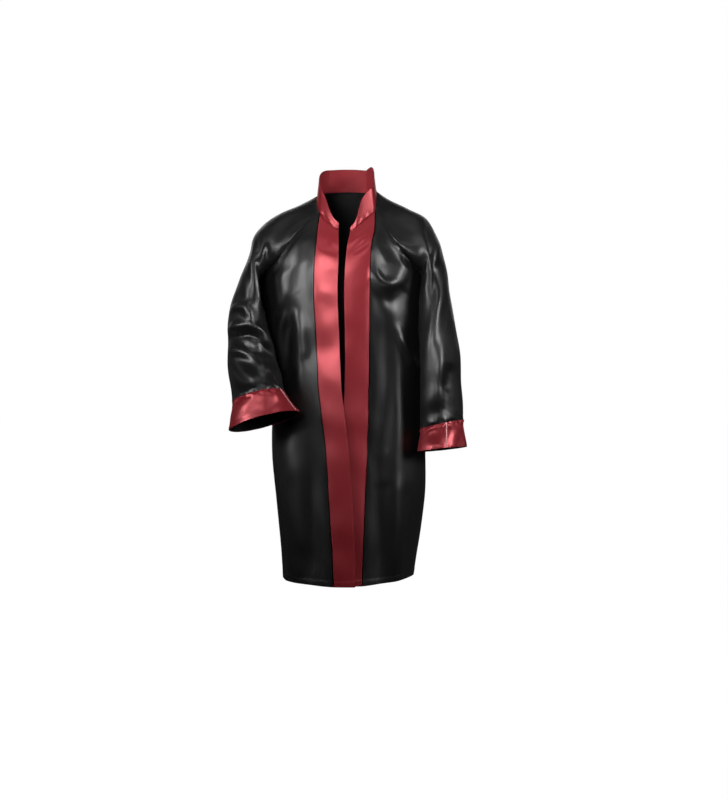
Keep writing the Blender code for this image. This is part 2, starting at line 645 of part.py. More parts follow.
def add_piece(name, grid, normals, sign, look, offset=0.0, gap=SEAM_GAP):
    """One cloth piece as a named object, with its seams opened."""
    trimmed = pull_in(grid, sign, normals, gap)
    points, faces = wall_mesh(trimmed, normals, sign, offset)
    mesh = bpy.data.meshes.new(name)
    mesh.from_pydata(points.tolist(), [], faces)
    mesh.validate()
    mesh.shade_smooth()
    mesh.set_sharp_from_angle(angle=math.radians(SHARP_ANGLE))
    piece = bpy.data.objects.new(name, mesh)
    bpy.context.scene.collection.objects.link(piece)
    mesh.materials.append(cloth_material(look))
    return piece


def build_gown():
    grids, signs = middle_surface()
    grids = folded(grids, shared_normals(grids, signs))
    normals = shared_normals(grids, signs)
    add_piece("back_panel", grids["back"], normals["back"], signs["back"], "black_satin")
    add_piece("collar", grids["collar"], normals["collar"], signs["collar"], "red_satin",
              gap=COLLAR_GAP)
    half = SLEEVE_NECK_COLUMNS + SEAM_COLUMNS
    for name in SIDE_NAMES.values():
        front = "front_" + name
        sleeve = "sleeve_" + name
        cuff = "cuff_" + name
        add_piece(front + "_panel", grids[front], normals[front], signs[front], "black_satin")
        band = np.s_[:, :BAND_COLUMNS + 1]
        add_piece("band_" + name, grids[front][band], normals[front][band], signs[front],
                  "red_satin", offset=BAND_LIFT)
        add_piece(sleeve + "_front", grids[sleeve][:, :half + 1], normals[sleeve][:, :half + 1],
                  signs[sleeve], "black_satin")
        add_piece(sleeve + "_back", grids[sleeve][:, half:], normals[sleeve][:, half:],
                  signs[sleeve], "black_satin")
        add_piece(cuff, grids[cuff], normals[cuff], signs[cuff], "red_satin")


for leftover in list(bpy.data.objects):
    bpy.data.objects.remove(leftover, do_unlink=True)
build_gown()
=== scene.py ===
"""Looks of a child's graduation gown in black and red satin, worn with its front slightly open.

Every cloth piece is a thin shell on the form of its solid. The form's tables and functions are
those of the part's source, with a finer mesh, and finer creases are laid on it. Units are
metres. The wearer's right side is at -X, the front faces -Y and up is +Z.
"""

import math

import bpy
import numpy as np
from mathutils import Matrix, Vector


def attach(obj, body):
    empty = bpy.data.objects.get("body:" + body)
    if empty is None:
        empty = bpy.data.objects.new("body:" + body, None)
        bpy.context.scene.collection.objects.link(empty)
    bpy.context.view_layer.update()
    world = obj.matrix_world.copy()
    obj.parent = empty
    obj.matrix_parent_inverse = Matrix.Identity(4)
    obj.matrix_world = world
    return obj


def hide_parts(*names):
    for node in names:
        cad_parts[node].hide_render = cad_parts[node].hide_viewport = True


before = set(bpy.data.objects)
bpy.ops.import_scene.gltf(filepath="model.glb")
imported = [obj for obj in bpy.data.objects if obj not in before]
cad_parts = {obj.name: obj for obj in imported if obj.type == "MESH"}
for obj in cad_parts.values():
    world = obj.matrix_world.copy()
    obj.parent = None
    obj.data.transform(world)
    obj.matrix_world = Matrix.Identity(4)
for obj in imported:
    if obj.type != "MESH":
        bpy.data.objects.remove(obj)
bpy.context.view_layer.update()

# Cloth, and the gaps at its seams
CLOTH = 0.0009
HEM_CLOTH = 0.0016
SEAM_GAP = 0.0002
SHARPEST_CREASE = 0.14
BAND_LIFT = 0.0012

# Sides of the body, as the wearer has them
RIGHT = 1
LEFT = -1
SIDE_NAMES = {RIGHT: "right", LEFT: "left"}

# Mesh counts
BAND_COLUMNS = 16
SEAM_COLUMNS = 60
SLEEVE_NECK_COLUMNS = 20
BACK_NECK_COLUMNS = 16
PANEL_ROWS = 480
PANEL_ROW_STEP = 2
SLEEVE_ROWS = 132
CUFF_ROWS = 20
COLLAR_ROWS = 18
CURVE_STEPS = 600

# Points closer than this are one point of the middle surface
SHARE_DISTANCE = 0.00001

# How square the torso form's rings are: 2 is an ellipse
SQUARENESS = 2.2

# Torso form: half-widths of a ring to each side of X = 0, and its depths from Y = 0
FORM_COLUMNS = ("height", "right", "left", "front", "back")
FORM_ROWS = (
    (0.012, 0.0600, 0.0580, 0.0360, 0.0580),
    (-0.020, 0.0980, 0.0920, 0.0470, 0.0700),
    (-0.045, 0.1340, 0.1220, 0.0595, 0.0830),
    (-0.060, 0.1500, 0.1360, 0.0710, 0.0920),
    (-0.080, 0.1630, 0.1460, 0.0890, 0.1020),
    (-0.100, 0.1710, 0.1510, 0.1040, 0.1100),
    (-0.130, 0.1765, 0.1530, 0.1170, 0.1180),
    (-0.165, 0.1772, 0.1478, 0.1235, 0.1220),
    (-0.185, 0.1772, 0.1473, 0.1250, 0.1220),
    (-0.210, 0.1762, 0.1466, 0.1265, 0.1210),
    (-0.250, 0.1678, 0.1462, 0.1270, 0.1190),
    (-0.300, 0.1590, 0.1475, 0.1260, 0.1180),
    (-0.360, 0.1530, 0.1515, 0.1260, 0.1180),
    (-0.430, 0.1530, 0.1540, 0.1280, 0.1220),
    (-0.484, 0.1560, 0.1570, 0.1300, 0.1260),
    (-0.530, 0.1550, 0.1580, 0.1320, 0.1280),
    (-0.617, 0.1470, 0.1565, 0.1360, 0.1340),
    (-0.700, 0.1380, 0.1460, 0.1400, 0.1390),
    (-0.790, 0.1310, 0.1320, 0.1430, 0.1430),
)

# Front edges and the widths of the bands along them, seen from the front
EDGE_COLUMNS = ("height", "right_x", "right_band", "left_x", "left_band")
EDGE_ROWS = (
    (-0.040, -0.0185, 0.0375, 0.0060, 0.0490),
    (-0.080, -0.0180, 0.0425, 0.0062, 0.0475),
    (-0.110, -0.0175, 0.0450, 0.0000, 0.0480),
    (-0.143, -0.0178, 0.0480, -0.0035, 0.0495),
    (-0.202, -0.0196, 0.0475, -0.0061, 0.0510),
    (-0.291, -0.0165, 0.0460, -0.0048, 0.0490),
    (-0.361, -0.0135, 0.0455, -0.0045, 0.0480),
    (-0.400, -0.0115, 0.0455, -0.0055, 0.0485),
    (-0.440, -0.0066, 0.0455, -0.0070, 0.0490),
    (-0.529, 0.0033, 0.0455, -0.0095, 0.0495),
    (-0.628, 0.0102, 0.0465, -0.0145, 0.0495),
    (-0.737, 0.0152, 0.0446, -0.0185, 0.0495),
    (-0.792, 0.0152, 0.0420, -0.0200, 0.0495),
)

# Neckline across the top of each band, from the front edge (0) to the raglan seam (1)
NECKLINE_COLUMNS = ("share", "right", "left")
NECKLINE_ROWS = (
    (0.00, -0.0790, -0.0830),
    (0.25, -0.0730, -0.0735),
    (0.50, -0.0650, -0.0625),
    (0.75, -0.0550, -0.0510),
    (1.00, -0.0435, -0.0390),
)

# Neckline across the back: the turn of its ends in degrees from the front centre, and its
# heights there and at the back centre
BACK_NECK_TURN = 140.0
BACK_NECK_HEIGHTS = (0.009, 0.012)

# Where the over-arm seam of a sleeve starts at the side of the neck
NECK_POINTS = {RIGHT: (-0.0628, -0.005, -0.0076), LEFT: (0.0575, -0.005, 0.0062)}

# Raglan seams from the neckline to the underarm point, on the torso form
SEAM_TABLE_COLUMNS = ("turn", "height")
FRONT_SEAMS = {
    RIGHT: ((33.7, -0.074), (41.0, -0.102), (51.0, -0.137), (70.0, -0.170), (90.0, -0.185)),
    LEFT: ((30.0, -0.076), (40.6, -0.110), (49.5, -0.130), (66.0, -0.153), (90.0, -0.171)),
}
BACK_SEAMS = {
    RIGHT: ((137.0, -0.020), (137.0, -0.052), (133.0, -0.090), (124.0, -0.130),
            (108.0, -0.166), (90.0, -0.185)),
    LEFT: ((137.0, -0.018), (137.0, -0.048), (133.0, -0.084), (124.0, -0.121),
           (108.0, -0.151), (90.0, -0.171)),
}

# Hem height by the turn in degrees, from the front centre round by the wearer's right
HEM_COLUMNS = ("turn", "height")
HEM_ROWS = ((0.0, -0.790), (90.0, -0.782), (180.0, -0.788), (270.0, -0.774), (360.0, -0.790))

# How far the fronts part where the wearer's right one laps over the left one
LAP_SHIFT = {RIGHT: -0.0050, LEFT: 0.0020}
LAP_HEIGHTS = (-0.310, -0.390)
LAP_REACH = (0.045, 0.110)

# Sleeve rings. The outer and inner ends are the ring's outline from the front.
# The last row is the cuff's lower edge and the row before it the seam above the cuff.
SLEEVE_COLUMNS = ("outer_x", "outer_z", "inner_x", "inner_z", "mid_y", "half_depth",
                  "lean", "rise", "twist")
SLEEVE_TABLES = {
    RIGHT: (
        (-0.0628, -0.0076, -0.1772, -0.1850, -0.003, 0.080, 0.002, 0.000, 0.0),
        (-0.1054, -0.0275, -0.1825, -0.1875, -0.003, 0.080, 0.002, 0.000, 0.0),
        (-0.1370, -0.0400, -0.1845, -0.1925, -0.005, 0.078, 0.004, 0.000, 5.0),
        (-0.1680, -0.0600, -0.1840, -0.2000, -0.012, 0.076, 0.010, 0.000, 12.0),
        (-0.1900, -0.0850, -0.1812, -0.2090, -0.017, 0.075, 0.013, 0.000, 16.0),
        (-0.1990, -0.1200, -0.1762, -0.2215, -0.023, 0.075, 0.017, 0.000, 20.0),
        (-0.2200, -0.1750, -0.1695, -0.2420, -0.031, 0.076, 0.020, 0.002, 28.0),
        (-0.2360, -0.2180, -0.1625, -0.2640, -0.036, 0.077, 0.022, 0.004, 40.0),
        (-0.2430, -0.2560, -0.1560, -0.2880, -0.043, 0.076, 0.024, 0.007, 58.0),
        (-0.2440, -0.3190, -0.1480, -0.3160, -0.052, 0.070, 0.024, 0.010, 80.0),
        (-0.2440, -0.3505, -0.1420, -0.3440, -0.060, 0.066, 0.018, 0.012, 105.0),
        (-0.2350, -0.3930, -0.1330, -0.3680, -0.088, 0.063, 0.012, 0.013, 130.0),
        (-0.2290, -0.4270, -0.1250, -0.4020, -0.114, 0.060, 0.006, 0.013, 150.0),
        (-0.2330, -0.4800, -0.0950, -0.4440, -0.138, 0.048, 0.000, 0.012, 156.0),
    ),
    LEFT: (
        (0.0575, 0.0062, 0.1476, -0.1710, -0.003, 0.080, 0.002, 0.000, 0.0),
        (0.0840, -0.0125, 0.1525, -0.1730, -0.005, 0.080, 0.004, 0.000, 0.0),
        (0.1236, -0.0305, 0.1545, -0.1775, -0.008, 0.078, 0.007, 0.000, 4.0),
        (0.1589, -0.0485, 0.1540, -0.1845, -0.012, 0.076, 0.010, 0.000, 9.0),
        (0.1815, -0.0860, 0.1515, -0.1925, -0.016, 0.075, 0.013, 0.000, 20.0),
        (0.1965, -0.1340, 0.1478, -0.2100, -0.023, 0.076, 0.016, 0.000, 32.0),
        (0.2100, -0.2165, 0.1447, -0.2460, -0.035, 0.078, 0.020, 0.000, 50.0),
        (0.2195, -0.2747, 0.1445, -0.2900, -0.045, 0.077, 0.022, 0.000, 68.0),
        (0.2290, -0.3380, 0.1465, -0.3450, -0.056, 0.075, 0.022, 0.002, 80.0),
        (0.2290, -0.3840, 0.1475, -0.3900, -0.062, 0.072, 0.020, 0.003, 84.0),
        (0.2325, -0.4300, 0.1465, -0.4350, -0.068, 0.070, 0.018, 0.004, 84.0),
        (0.2330, -0.4600, 0.1455, -0.4780, -0.074, 0.068, 0.016, 0.004, 82.0),
        (0.2385, -0.5140, 0.1410, -0.5230, -0.080, 0.066, 0.014, 0.004, 82.0),
    ),
}

# How far down a sleeve its rings still take the raglan seam's shape
SEAM_SHAPE_REACH = 0.09

# Share of a panel's length in which its columns settle from the seam's spacing to an even one
SETTLE_REACH = 0.45

# Collar height by the share of the neckline, from the wearer's right front end to the left
COLLAR_COLUMNS = ("share", "height")
COLLAR_HEIGHTS = (
    (0.000, 0.014), (0.035, 0.020), (0.065, 0.031), (0.095, 0.042), (0.130, 0.047),
    (0.260, 0.047), (0.500, 0.046), (0.740, 0.047), (0.865, 0.050), (0.900, 0.049),
    (0.930, 0.042), (0.955, 0.024), (0.975, 0.013), (1.000, 0.009),
)
COLLAR_INWARD = 0.12
COLLAR_CENTRE = (0.0, -0.012)

# The largest folds, as soft ridges (height above 0) and troughs (below 0). Each runs between
# two points seen from the front (face 1) or from the back (face -1), bowed to one side.
FOLD_COLUMNS = ("face", "from_x", "from_z", "to_x", "to_z", "bow", "half_width", "height")
BODY_FOLDS = (
    (1, -0.123, -0.235, -0.135, -0.390, 0.004, 0.016, -0.0070),
    (1, -0.098, -0.255, -0.092, -0.420, 0.003, 0.018, 0.0060),
    (1, 0.052, -0.160, 0.084, -0.195, -0.004, 0.012, 0.0050),
    (1, 0.084, -0.195, 0.120, -0.140, -0.006, 0.013, 0.0060),
    (1, 0.104, -0.280, 0.132, -0.360, 0.002, 0.010, 0.0040),
    (1, 0.070, -0.230, 0.078, -0.520, 0.000, 0.020, -0.0050),
    (1, -0.118, -0.450, -0.112, -0.780, 0.000, 0.020, 0.0050),
    (1, -0.075, -0.520, -0.070, -0.785, 0.000, 0.018, -0.0050),
    (1, 0.062, -0.500, 0.066, -0.785, 0.000, 0.018, -0.0060),
    (1, 0.100, -0.430, 0.096, -0.785, 0.000, 0.020, 0.0060),
    (-1, -0.060, -0.090, -0.085, -0.500, 0.006, 0.022, 0.0060),
    (-1, -0.018, -0.120, -0.030, -0.780, 0.000, 0.022, -0.0060),
    (-1, 0.022, -0.080, 0.024, -0.780, 0.004, 0.020, 0.0060),
    (-1, 0.070, -0.130, 0.078, -0.780, 0.000, 0.022, -0.0060),
    (-1, -0.104, -0.300, -0.098, -0.785, 0.000, 0.020, -0.0050),
    (-1, 0.110, -0.260, 0.112, -0.780, 0.000, 0.018, 0.0050),
)
SLEEVE_FOLDS = {
    RIGHT: (
        (1, -0.178, -0.080, -0.170, -0.165, 0.000, 0.011, 0.0040),
        (1, -0.196, -0.120, -0.178, -0.245, 0.004, 0.012, 0.0050),
        (1, -0.231, -0.235, -0.190, -0.262, 0.014, 0.011, 0.0060),
        (1, -0.240, -0.280, -0.150, -0.300, 0.016, 0.010, 0.0060),
        (1, -0.240, -0.295, -0.150, -0.330, 0.018, 0.010, -0.0060),
        (1, -0.238, -0.320, -0.158, -0.372, 0.018, 0.012, 0.0060),
        (-1, -0.240, -0.250, -0.170, -0.270, -0.010, 0.012, -0.0050),
        (-1, -0.242, -0.285, -0.165, -0.310, -0.010, 0.012, 0.0050),
        (-1, -0.200, -0.110, -0.205, -0.230, 0.004, 0.014, 0.0040),
    ),
    LEFT: (
        (1, 0.166, -0.060, 0.172, -0.230, 0.000, 0.010, -0.0040),
        (1, 0.184, -0.100, 0.172, -0.150, 0.000, 0.010, 0.0040),
        (1, 0.186, -0.310, 0.178, -0.425, 0.000, 0.011, 0.0050),
        (1, 0.205, -0.355, 0.196, -0.400, 0.000, 0.012, -0.0045),
        (-1, 0.190, -0.110, 0.196, -0.260, 0.000, 0.014, 0.0045),
        (-1, 0.215, -0.260, 0.175, -0.330, -0.008, 0.013, -0.0050),
        (-1, 0.210, -0.330, 0.205, -0.440, 0.000, 0.013, 0.0045),
    ),
}

# A fold fades in as the cloth turns to face its side, over this much of its normal
FOLD_FACING = 0.45
# and past its ends, over this share of its length
FOLD_END = 0.25
# and below a seam that two pieces share, over this distance
SEAM_FADE = 0.035


# Finer creases, each along a path of (x, z) points seen from the front (1) or the back (-1)
CREASE_COLUMNS = ("face", "path", "half_width", "height")
BODY_CREASES = (
    (1, ((-0.115, -0.233), (-0.130, -0.265), (-0.138, -0.301), (-0.136, -0.345)), 0.0050, 0.0025),
    (1, ((-0.108, -0.237), (-0.098, -0.265), (-0.090, -0.301), (-0.086, -0.345)), 0.0050, 0.0020),
    (1, ((-0.116, -0.253), (-0.118, -0.311), (-0.120, -0.384)), 0.0090, -0.0040),
    (1, ((-0.132, -0.150), (-0.130, -0.190), (-0.126, -0.245)), 0.0120, 0.0030),
    (1, ((-0.078, -0.090), (-0.080, -0.160), (-0.080, -0.230)), 0.0070, -0.0018),
    (1, ((0.004, -0.131), (0.024, -0.118), (0.047, -0.098)), 0.0045, -0.0024),
    (1, ((0.006, -0.108), (0.026, -0.096), (0.044, -0.080)), 0.0045, 0.0014),
    (1, ((-0.058, -0.112), (-0.033, -0.106)), 0.0060, -0.0014),
    (1, ((0.056, -0.085), (0.064, -0.130), (0.070, -0.160)), 0.0100, -0.0022),
    (1, ((-0.110, -0.146), (-0.112, -0.222)), 0.0040, 0.0010),
    (1, ((-0.092, -0.138), (-0.098, -0.213)), 0.0040, 0.0009),
    (1, ((-0.128, -0.158), (-0.122, -0.225)), 0.0040, 0.0010),
    (1, ((-0.076, -0.146), (-0.082, -0.222)), 0.0050, 0.0008),
    (1, ((0.044, -0.170), (0.062, -0.188), (0.080, -0.194), (0.096, -0.180), (0.108, -0.156),
         (0.116, -0.128)), 0.0080, 0.0034),
    (1, ((0.080, -0.120), (0.086, -0.158)), 0.0090, -0.0016),
    (1, ((0.070, -0.222), (0.098, -0.218), (0.122, -0.196)), 0.0090, -0.0022),
    (1, ((0.102, -0.289), (0.116, -0.321), (0.132, -0.362)), 0.0045, 0.0025),
    (1, ((0.065, -0.222), (0.067, -0.460)), 0.0060, 0.0008),
    (1, ((0.081, -0.261), (0.085, -0.480)), 0.0060, -0.0008),
    (1, ((0.059, -0.511), (0.063, -0.599)), 0.0050, 0.0010),
    (1, ((0.081, -0.511), (0.077, -0.595)), 0.0050, 0.0010),
    (1, ((0.071, -0.519), (0.073, -0.767)), 0.0060, -0.0012),
    (1, ((0.101, -0.559), (0.099, -0.773)), 0.0080, 0.0015),
    (1, ((0.118, -0.579), (0.114, -0.767)), 0.0070, -0.0012),
    (1, ((-0.094, -0.519), (-0.088, -0.738)), 0.0100, 0.0012),
    (1, ((-0.070, -0.559), (-0.062, -0.777)), 0.0070, -0.0010),
    (1, ((-0.114, -0.559), (-0.106, -0.767)), 0.0080, -0.0010),
    (-1, ((-0.105, -0.150), (-0.088, -0.200), (-0.060, -0.262)), 0.0070, 0.0022),
    (-1, ((-0.118, -0.205), (-0.092, -0.262), (-0.070, -0.345)), 0.0065, -0.0020),
    (-1, ((0.108, -0.145), (0.090, -0.196), (0.052, -0.240)), 0.0070, 0.0020),
    (-1, ((0.116, -0.190), (0.098, -0.255), (0.086, -0.360)), 0.0060, -0.0018),
    (-1, ((-0.045, -0.110), (-0.052, -0.190), (-0.048, -0.330)), 0.0060, 0.0014),
    (-1, ((0.046, -0.095), (0.050, -0.200), (0.058, -0.330)), 0.0065, -0.0016),
    (-1, ((-0.008, -0.070), (0.002, -0.180), (-0.004, -0.300)), 0.0070, 0.0012),
    (-1, ((-0.082, -0.390), (-0.076, -0.560), (-0.080, -0.760)), 0.0080, 0.0020),
    (-1, ((-0.052, -0.430), (-0.058, -0.600), (-0.054, -0.775)), 0.0070, 0.0016),
    (-1, ((0.046, -0.400), (0.050, -0.560), (0.046, -0.770)), 0.0080, -0.0018),
    (-1, ((0.092, -0.420), (0.096, -0.600), (0.094, -0.770)), 0.0070, 0.0018),
    (-1, ((0.004, -0.480), (0.000, -0.620), (0.003, -0.775)), 0.0075, -0.0014),
)
SLEEVE_CREASES = {
    RIGHT: (
        (1, ((-0.176, -0.083), (-0.173, -0.121), (-0.168, -0.169)), 0.0048, 0.0025),
        (1, ((-0.183, -0.097), (-0.179, -0.142), (-0.169, -0.198)), 0.0048, -0.0025),
        (1, ((-0.189, -0.121), (-0.186, -0.155), (-0.181, -0.194), (-0.173, -0.230)), 0.0048, 0.0025),
        (1, ((-0.203, -0.170), (-0.200, -0.218), (-0.200, -0.246), (-0.208, -0.262),
             (-0.220, -0.264), (-0.235, -0.256)), 0.0055, 0.0030),
        (1, ((-0.211, -0.202), (-0.217, -0.234)), 0.0070, -0.0016),
        (1, ((-0.235, -0.260), (-0.221, -0.281), (-0.198, -0.297), (-0.169, -0.307),
             (-0.144, -0.307)), 0.0055, 0.0034),
        (1, ((-0.225, -0.271), (-0.205, -0.280), (-0.173, -0.282), (-0.144, -0.280)), 0.0070, -0.0022),
        (1, ((-0.235, -0.285), (-0.217, -0.313), (-0.188, -0.337), (-0.171, -0.346),
             (-0.148, -0.331)), 0.0065, 0.0032),
        (1, ((-0.231, -0.291), (-0.205, -0.314), (-0.173, -0.325), (-0.144, -0.322)), 0.0060, -0.0020),
        (1, ((-0.231, -0.313), (-0.217, -0.346), (-0.196, -0.367), (-0.169, -0.382),
             (-0.157, -0.376)), 0.0065, 0.0030),
        (1, ((-0.239, -0.337), (-0.217, -0.380), (-0.185, -0.396), (-0.159, -0.382),
             (-0.146, -0.355)), 0.0065, -0.0040),
        (1, ((-0.106, -0.030), (-0.104, -0.056), (-0.112, -0.084)), 0.0055, 0.0030),
        (1, ((-0.117, -0.064), (-0.124, -0.092), (-0.134, -0.118)), 0.0055, 0.0030),
        (1, ((-0.112, -0.044), (-0.117, -0.078)), 0.0055, -0.0026),
        (1, ((-0.097, -0.030), (-0.097, -0.062)), 0.0055, -0.0022),
        (1, ((-0.128, -0.050), (-0.134, -0.089), (-0.146, -0.130)), 0.0055, -0.0022),
        (1, ((-0.150, -0.060), (-0.153, -0.117)), 0.0070, 0.0020),
        (1, ((-0.201, -0.128), (-0.211, -0.184)), 0.0055, 0.0015),
        (-1, ((-0.186, -0.100), (-0.192, -0.160), (-0.186, -0.225)), 0.0055, 0.0022),
        (-1, ((-0.172, -0.110), (-0.176, -0.170), (-0.172, -0.230)), 0.0055, -0.0020),
        (-1, ((-0.238, -0.262), (-0.214, -0.276), (-0.180, -0.272)), 0.0055, 0.0026),
        (-1, ((-0.240, -0.300), (-0.210, -0.318), (-0.170, -0.312)), 0.0055, -0.0026),
        (-1, ((-0.236, -0.345), (-0.206, -0.362), (-0.172, -0.352)), 0.0055, 0.0024),
        (-1, ((-0.120, -0.050), (-0.140, -0.090), (-0.150, -0.130)), 0.0060, 0.0016),
    ),
    LEFT: (
        (1, ((0.159, -0.059), (0.160, -0.106), (0.156, -0.175), (0.161, -0.191)), 0.0048, 0.0025),
        (1, ((0.144, -0.067), (0.145, -0.104)), 0.0048, 0.0018),
        (1, ((0.152, -0.075), (0.150, -0.197)), 0.0055, -0.0022),
        (1, ((0.183, -0.087), (0.173, -0.116), (0.168, -0.140)), 0.0048, 0.0020),
        (1, ((0.175, -0.140), (0.181, -0.187)), 0.0055, -0.0020),
        (1, ((0.139, -0.252), (0.149, -0.208), (0.155, -0.179)), 0.0048, 0.0018),
        (1, ((0.195, -0.169), (0.179, -0.227), (0.166, -0.290), (0.155, -0.343), (0.150, -0.420),
             (0.148, -0.471)), 0.0075, 0.0042),
        (1, ((0.183, -0.169), (0.167, -0.227), (0.155, -0.290), (0.145, -0.359),
             (0.142, -0.440)), 0.0060, -0.0024),
        (1, ((0.186, -0.330), (0.182, -0.385), (0.180, -0.450)), 0.0085, 0.0022),
        (1, ((0.160, -0.452), (0.184, -0.446), (0.212, -0.452)), 0.0070, -0.0014),
        (1, ((0.201, -0.217), (0.207, -0.278)), 0.0060, 0.0012),
        (1, ((0.078, -0.056), (0.090, -0.046), (0.106, -0.040)), 0.0055, 0.0028),
        (1, ((0.108, -0.086), (0.124, -0.068), (0.146, -0.052)), 0.0060, 0.0032),
        (1, ((0.094, -0.068), (0.126, -0.041)), 0.0055, -0.0024),
        (1, ((0.126, -0.106), (0.138, -0.082)), 0.0055, -0.0022),
        (-1, ((0.176, -0.095), (0.184, -0.160), (0.178, -0.240)), 0.0055, 0.0022),
        (-1, ((0.160, -0.105), (0.166, -0.170), (0.162, -0.240)), 0.0055, -0.0020),
        (-1, ((0.222, -0.268), (0.200, -0.300), (0.168, -0.318)), 0.0055, 0.0026),
        (-1, ((0.226, -0.310), (0.204, -0.338), (0.168, -0.352)), 0.0055, -0.0024),
        (-1, ((0.206, -0.350), (0.210, -0.400), (0.200, -0.455)), 0.0055, 0.0022),
        (-1, ((0.110, -0.045), (0.130, -0.080), (0.140, -0.125)), 0.0060, 0.0016),
    ),
}
CREASE_STEPS = 24
CREASE_END = 0.20
CREASE_REACH = 3.8
CREASE_FACING = 0.25
CREASE_WIDEN = 1.95
CREASE_LOWER = 1.20
CREASE_FLANK = 0.28
CREASE_FLANK_WIDTH = 2.4
BODY_SOFTENING = 6
SLEEVE_SOFTENING = 18

# Where the sleeve and the body swell to touch under the arm: height, reach, sleeve's and body's lift
TUCKS = {RIGHT: (-0.198, 0.038, 0.0024, 0.0018), LEFT: (-0.182, 0.030, 0.0040, 0.0034)}
TUCK_FACING = (0.55, 0.95)
TUCK_START = 0.004

# Soft uneven waves in the cloth: how many, their lengths, how level they run, height, seed
BODY_WAVES = (14, (0.045, 0.110), 0.20, 0.0006, 3)
SLEEVE_WAVES = (14, (0.050, 0.100), 1.0, 0.0005, 5)
BAND_WAVES = (12, (0.045, 0.120), 0.8, 0.0006, 8)
CUFF_WAVES = (12, (0.030, 0.060), 0.6, 0.0008, 21)
CUFF_WAVE_START = 0.008

# Seams: how deep the cloth sinks along them, how far to each side, and its small puckers
SEAM_SINK = 0.0008
SEAM_SINK_WIDTH = 0.0028
LENGTHWISE_SHARE = 0.10
PUCKER_HEIGHT = 0.00050
CUFF_PUCKER_HEIGHT = 0.00085
PUCKER_WIDTH = 0.0110
PUCKER_WAVES = 9
PUCKER_LENGTHS = (0.008, 0.017)
PUCKER_SEED = 11

# Lights: name, place, aim, size, power in watts, spread in degrees
LIGHTS = (
    ("key", (-0.46, -1.50, 0.20), (-0.02, -0.1, -0.09), (1.3, 0.55), 1.8, 26.0),
    ("fill_left", (-1.8, -0.95, 0.35), (-0.19, -0.05, -0.20), (0.9, 1.2), 2.2, 26.0),
    ("fill_right", (1.6, -0.85, 0.25), (0.22, -0.06, -0.30), (0.9, 1.2), 2.6, 24.0),
    ("high", (0.0, -1.15, 1.0), (0.0, -0.08, -0.20), (1.8, 0.7), 0.6, 30.0),
    ("top", (0.0, 0.2, 1.8), (0.0, 0.1, 0.0), (1.2, 1.0), 0.8, 120.0),
    ("behind", (0.0, 2.6, 0.6), (0.0, 0.0, -0.3), (2.4, 1.4), 6.0, 80.0),
)
PALE = 1.0
DIM = 0.02

# Colours and finish
BLACK = (0.0036, 0.0036, 0.0039)
BLACK_LIGHTER = (0.0062, 0.0062, 0.0068)
RED = (0.185, 0.012, 0.017)
RED_LIGHTER = (0.250, 0.020, 0.027)


class Curves:
    """Smooth curves through the rows of a table, one for each named column."""

    def __init__(self, names, rows, knots=None):
        data = np.array(rows, dtype=float)
        if knots is None:
            knots = data[:, 0]
        order = np.argsort(knots)
        self.knots = np.asarray(knots, dtype=float)[order]
        self.values = {name: data[order, i] for i, name in enumerate(names)}

    def at(self, name, where):
        """Cubic Hermite value, held constant past either end of the table."""
        knots = self.knots
        values = self.values[name]
        where = np.clip(np.asarray(where, dtype=float), knots[0], knots[-1])
        slopes = np.gradient(values, knots)
        cell = np.clip(np.searchsorted(knots, where, side="right") - 1, 0, len(knots) - 2)
        span = knots[cell + 1] - knots[cell]
        t = (where - knots[cell]) / span
        start = values[cell] * (2 * t**3 - 3 * t**2 + 1) + slopes[cell] * span * (t**3 - 2 * t**2 + t)
        end = values[cell + 1] * (3 * t**2 - 2 * t**3) + slopes[cell + 1] * span * (t**3 - t**2)
        return start + end


FORM = Curves(FORM_COLUMNS, FORM_ROWS)
EDGE = Curves(EDGE_COLUMNS, EDGE_ROWS)
NECKLINE = Curves(NECKLINE_COLUMNS, NECKLINE_ROWS)
HEM = Curves(HEM_COLUMNS, HEM_ROWS)
COLLAR = Curves(COLLAR_COLUMNS, COLLAR_HEIGHTS)


def smoothstep(low, high, value):
    """0 at low, 1 at high and a soft change between them."""
    t = np.clip((np.asarray(value, dtype=float) - low) / (high - low), 0.0, 1.0)
    return t * t * (3.0 - 2.0 * t)


def signed_power(value, power):
    return np.sign(value) * np.abs(value) ** power


def unit(vectors):
    lengths = np.linalg.norm(vectors, axis=-1, keepdims=True)
    return vectors / np.maximum(lengths, 1e-12)


def resample(points, count):
    """Points spaced evenly along a polyline, count + 1 of them."""
    steps = np.linalg.norm(np.diff(points, axis=0), axis=1)
    distance = np.concatenate(([0.0], np.cumsum(steps)))
    wanted = np.linspace(0.0, distance[-1], count + 1)
    return np.stack([np.interp(wanted, distance, points[:, i]) for i in range(points.shape[1])], axis=1)


def form_point(side, turn, height):
    """Point of the torso form at a turn from the front centre towards one side."""
    across = np.sin(turn)
    along = np.cos(turn)
    same_side = across >= 0
    near = FORM.at(SIDE_NAMES[side], height)
    far = FORM.at(SIDE_NAMES[-side], height)
    half_width = np.where(same_side, near, far)
    depth = np.where(along >= 0, FORM.at("front", height), FORM.at("back", height))
    x = -side * half_width * signed_power(across, 2.0 / SQUARENESS)
    y = -depth * signed_power(along, 2.0 / SQUARENESS)
    return np.stack(np.broadcast_arrays(x, y, height), axis=-1)


def turn_at(side, x, height):
    """Turn at which the front of the torso form has this X."""
    outward = -side * x
    near = FORM.at(SIDE_NAMES[side], height)
    far = FORM.at(SIDE_NAMES[-side], height)
    share = outward / np.where(outward >= 0, near, far)
    return np.arcsin(np.clip(signed_power(share, SQUARENESS / 2.0), -1.0, 1.0))


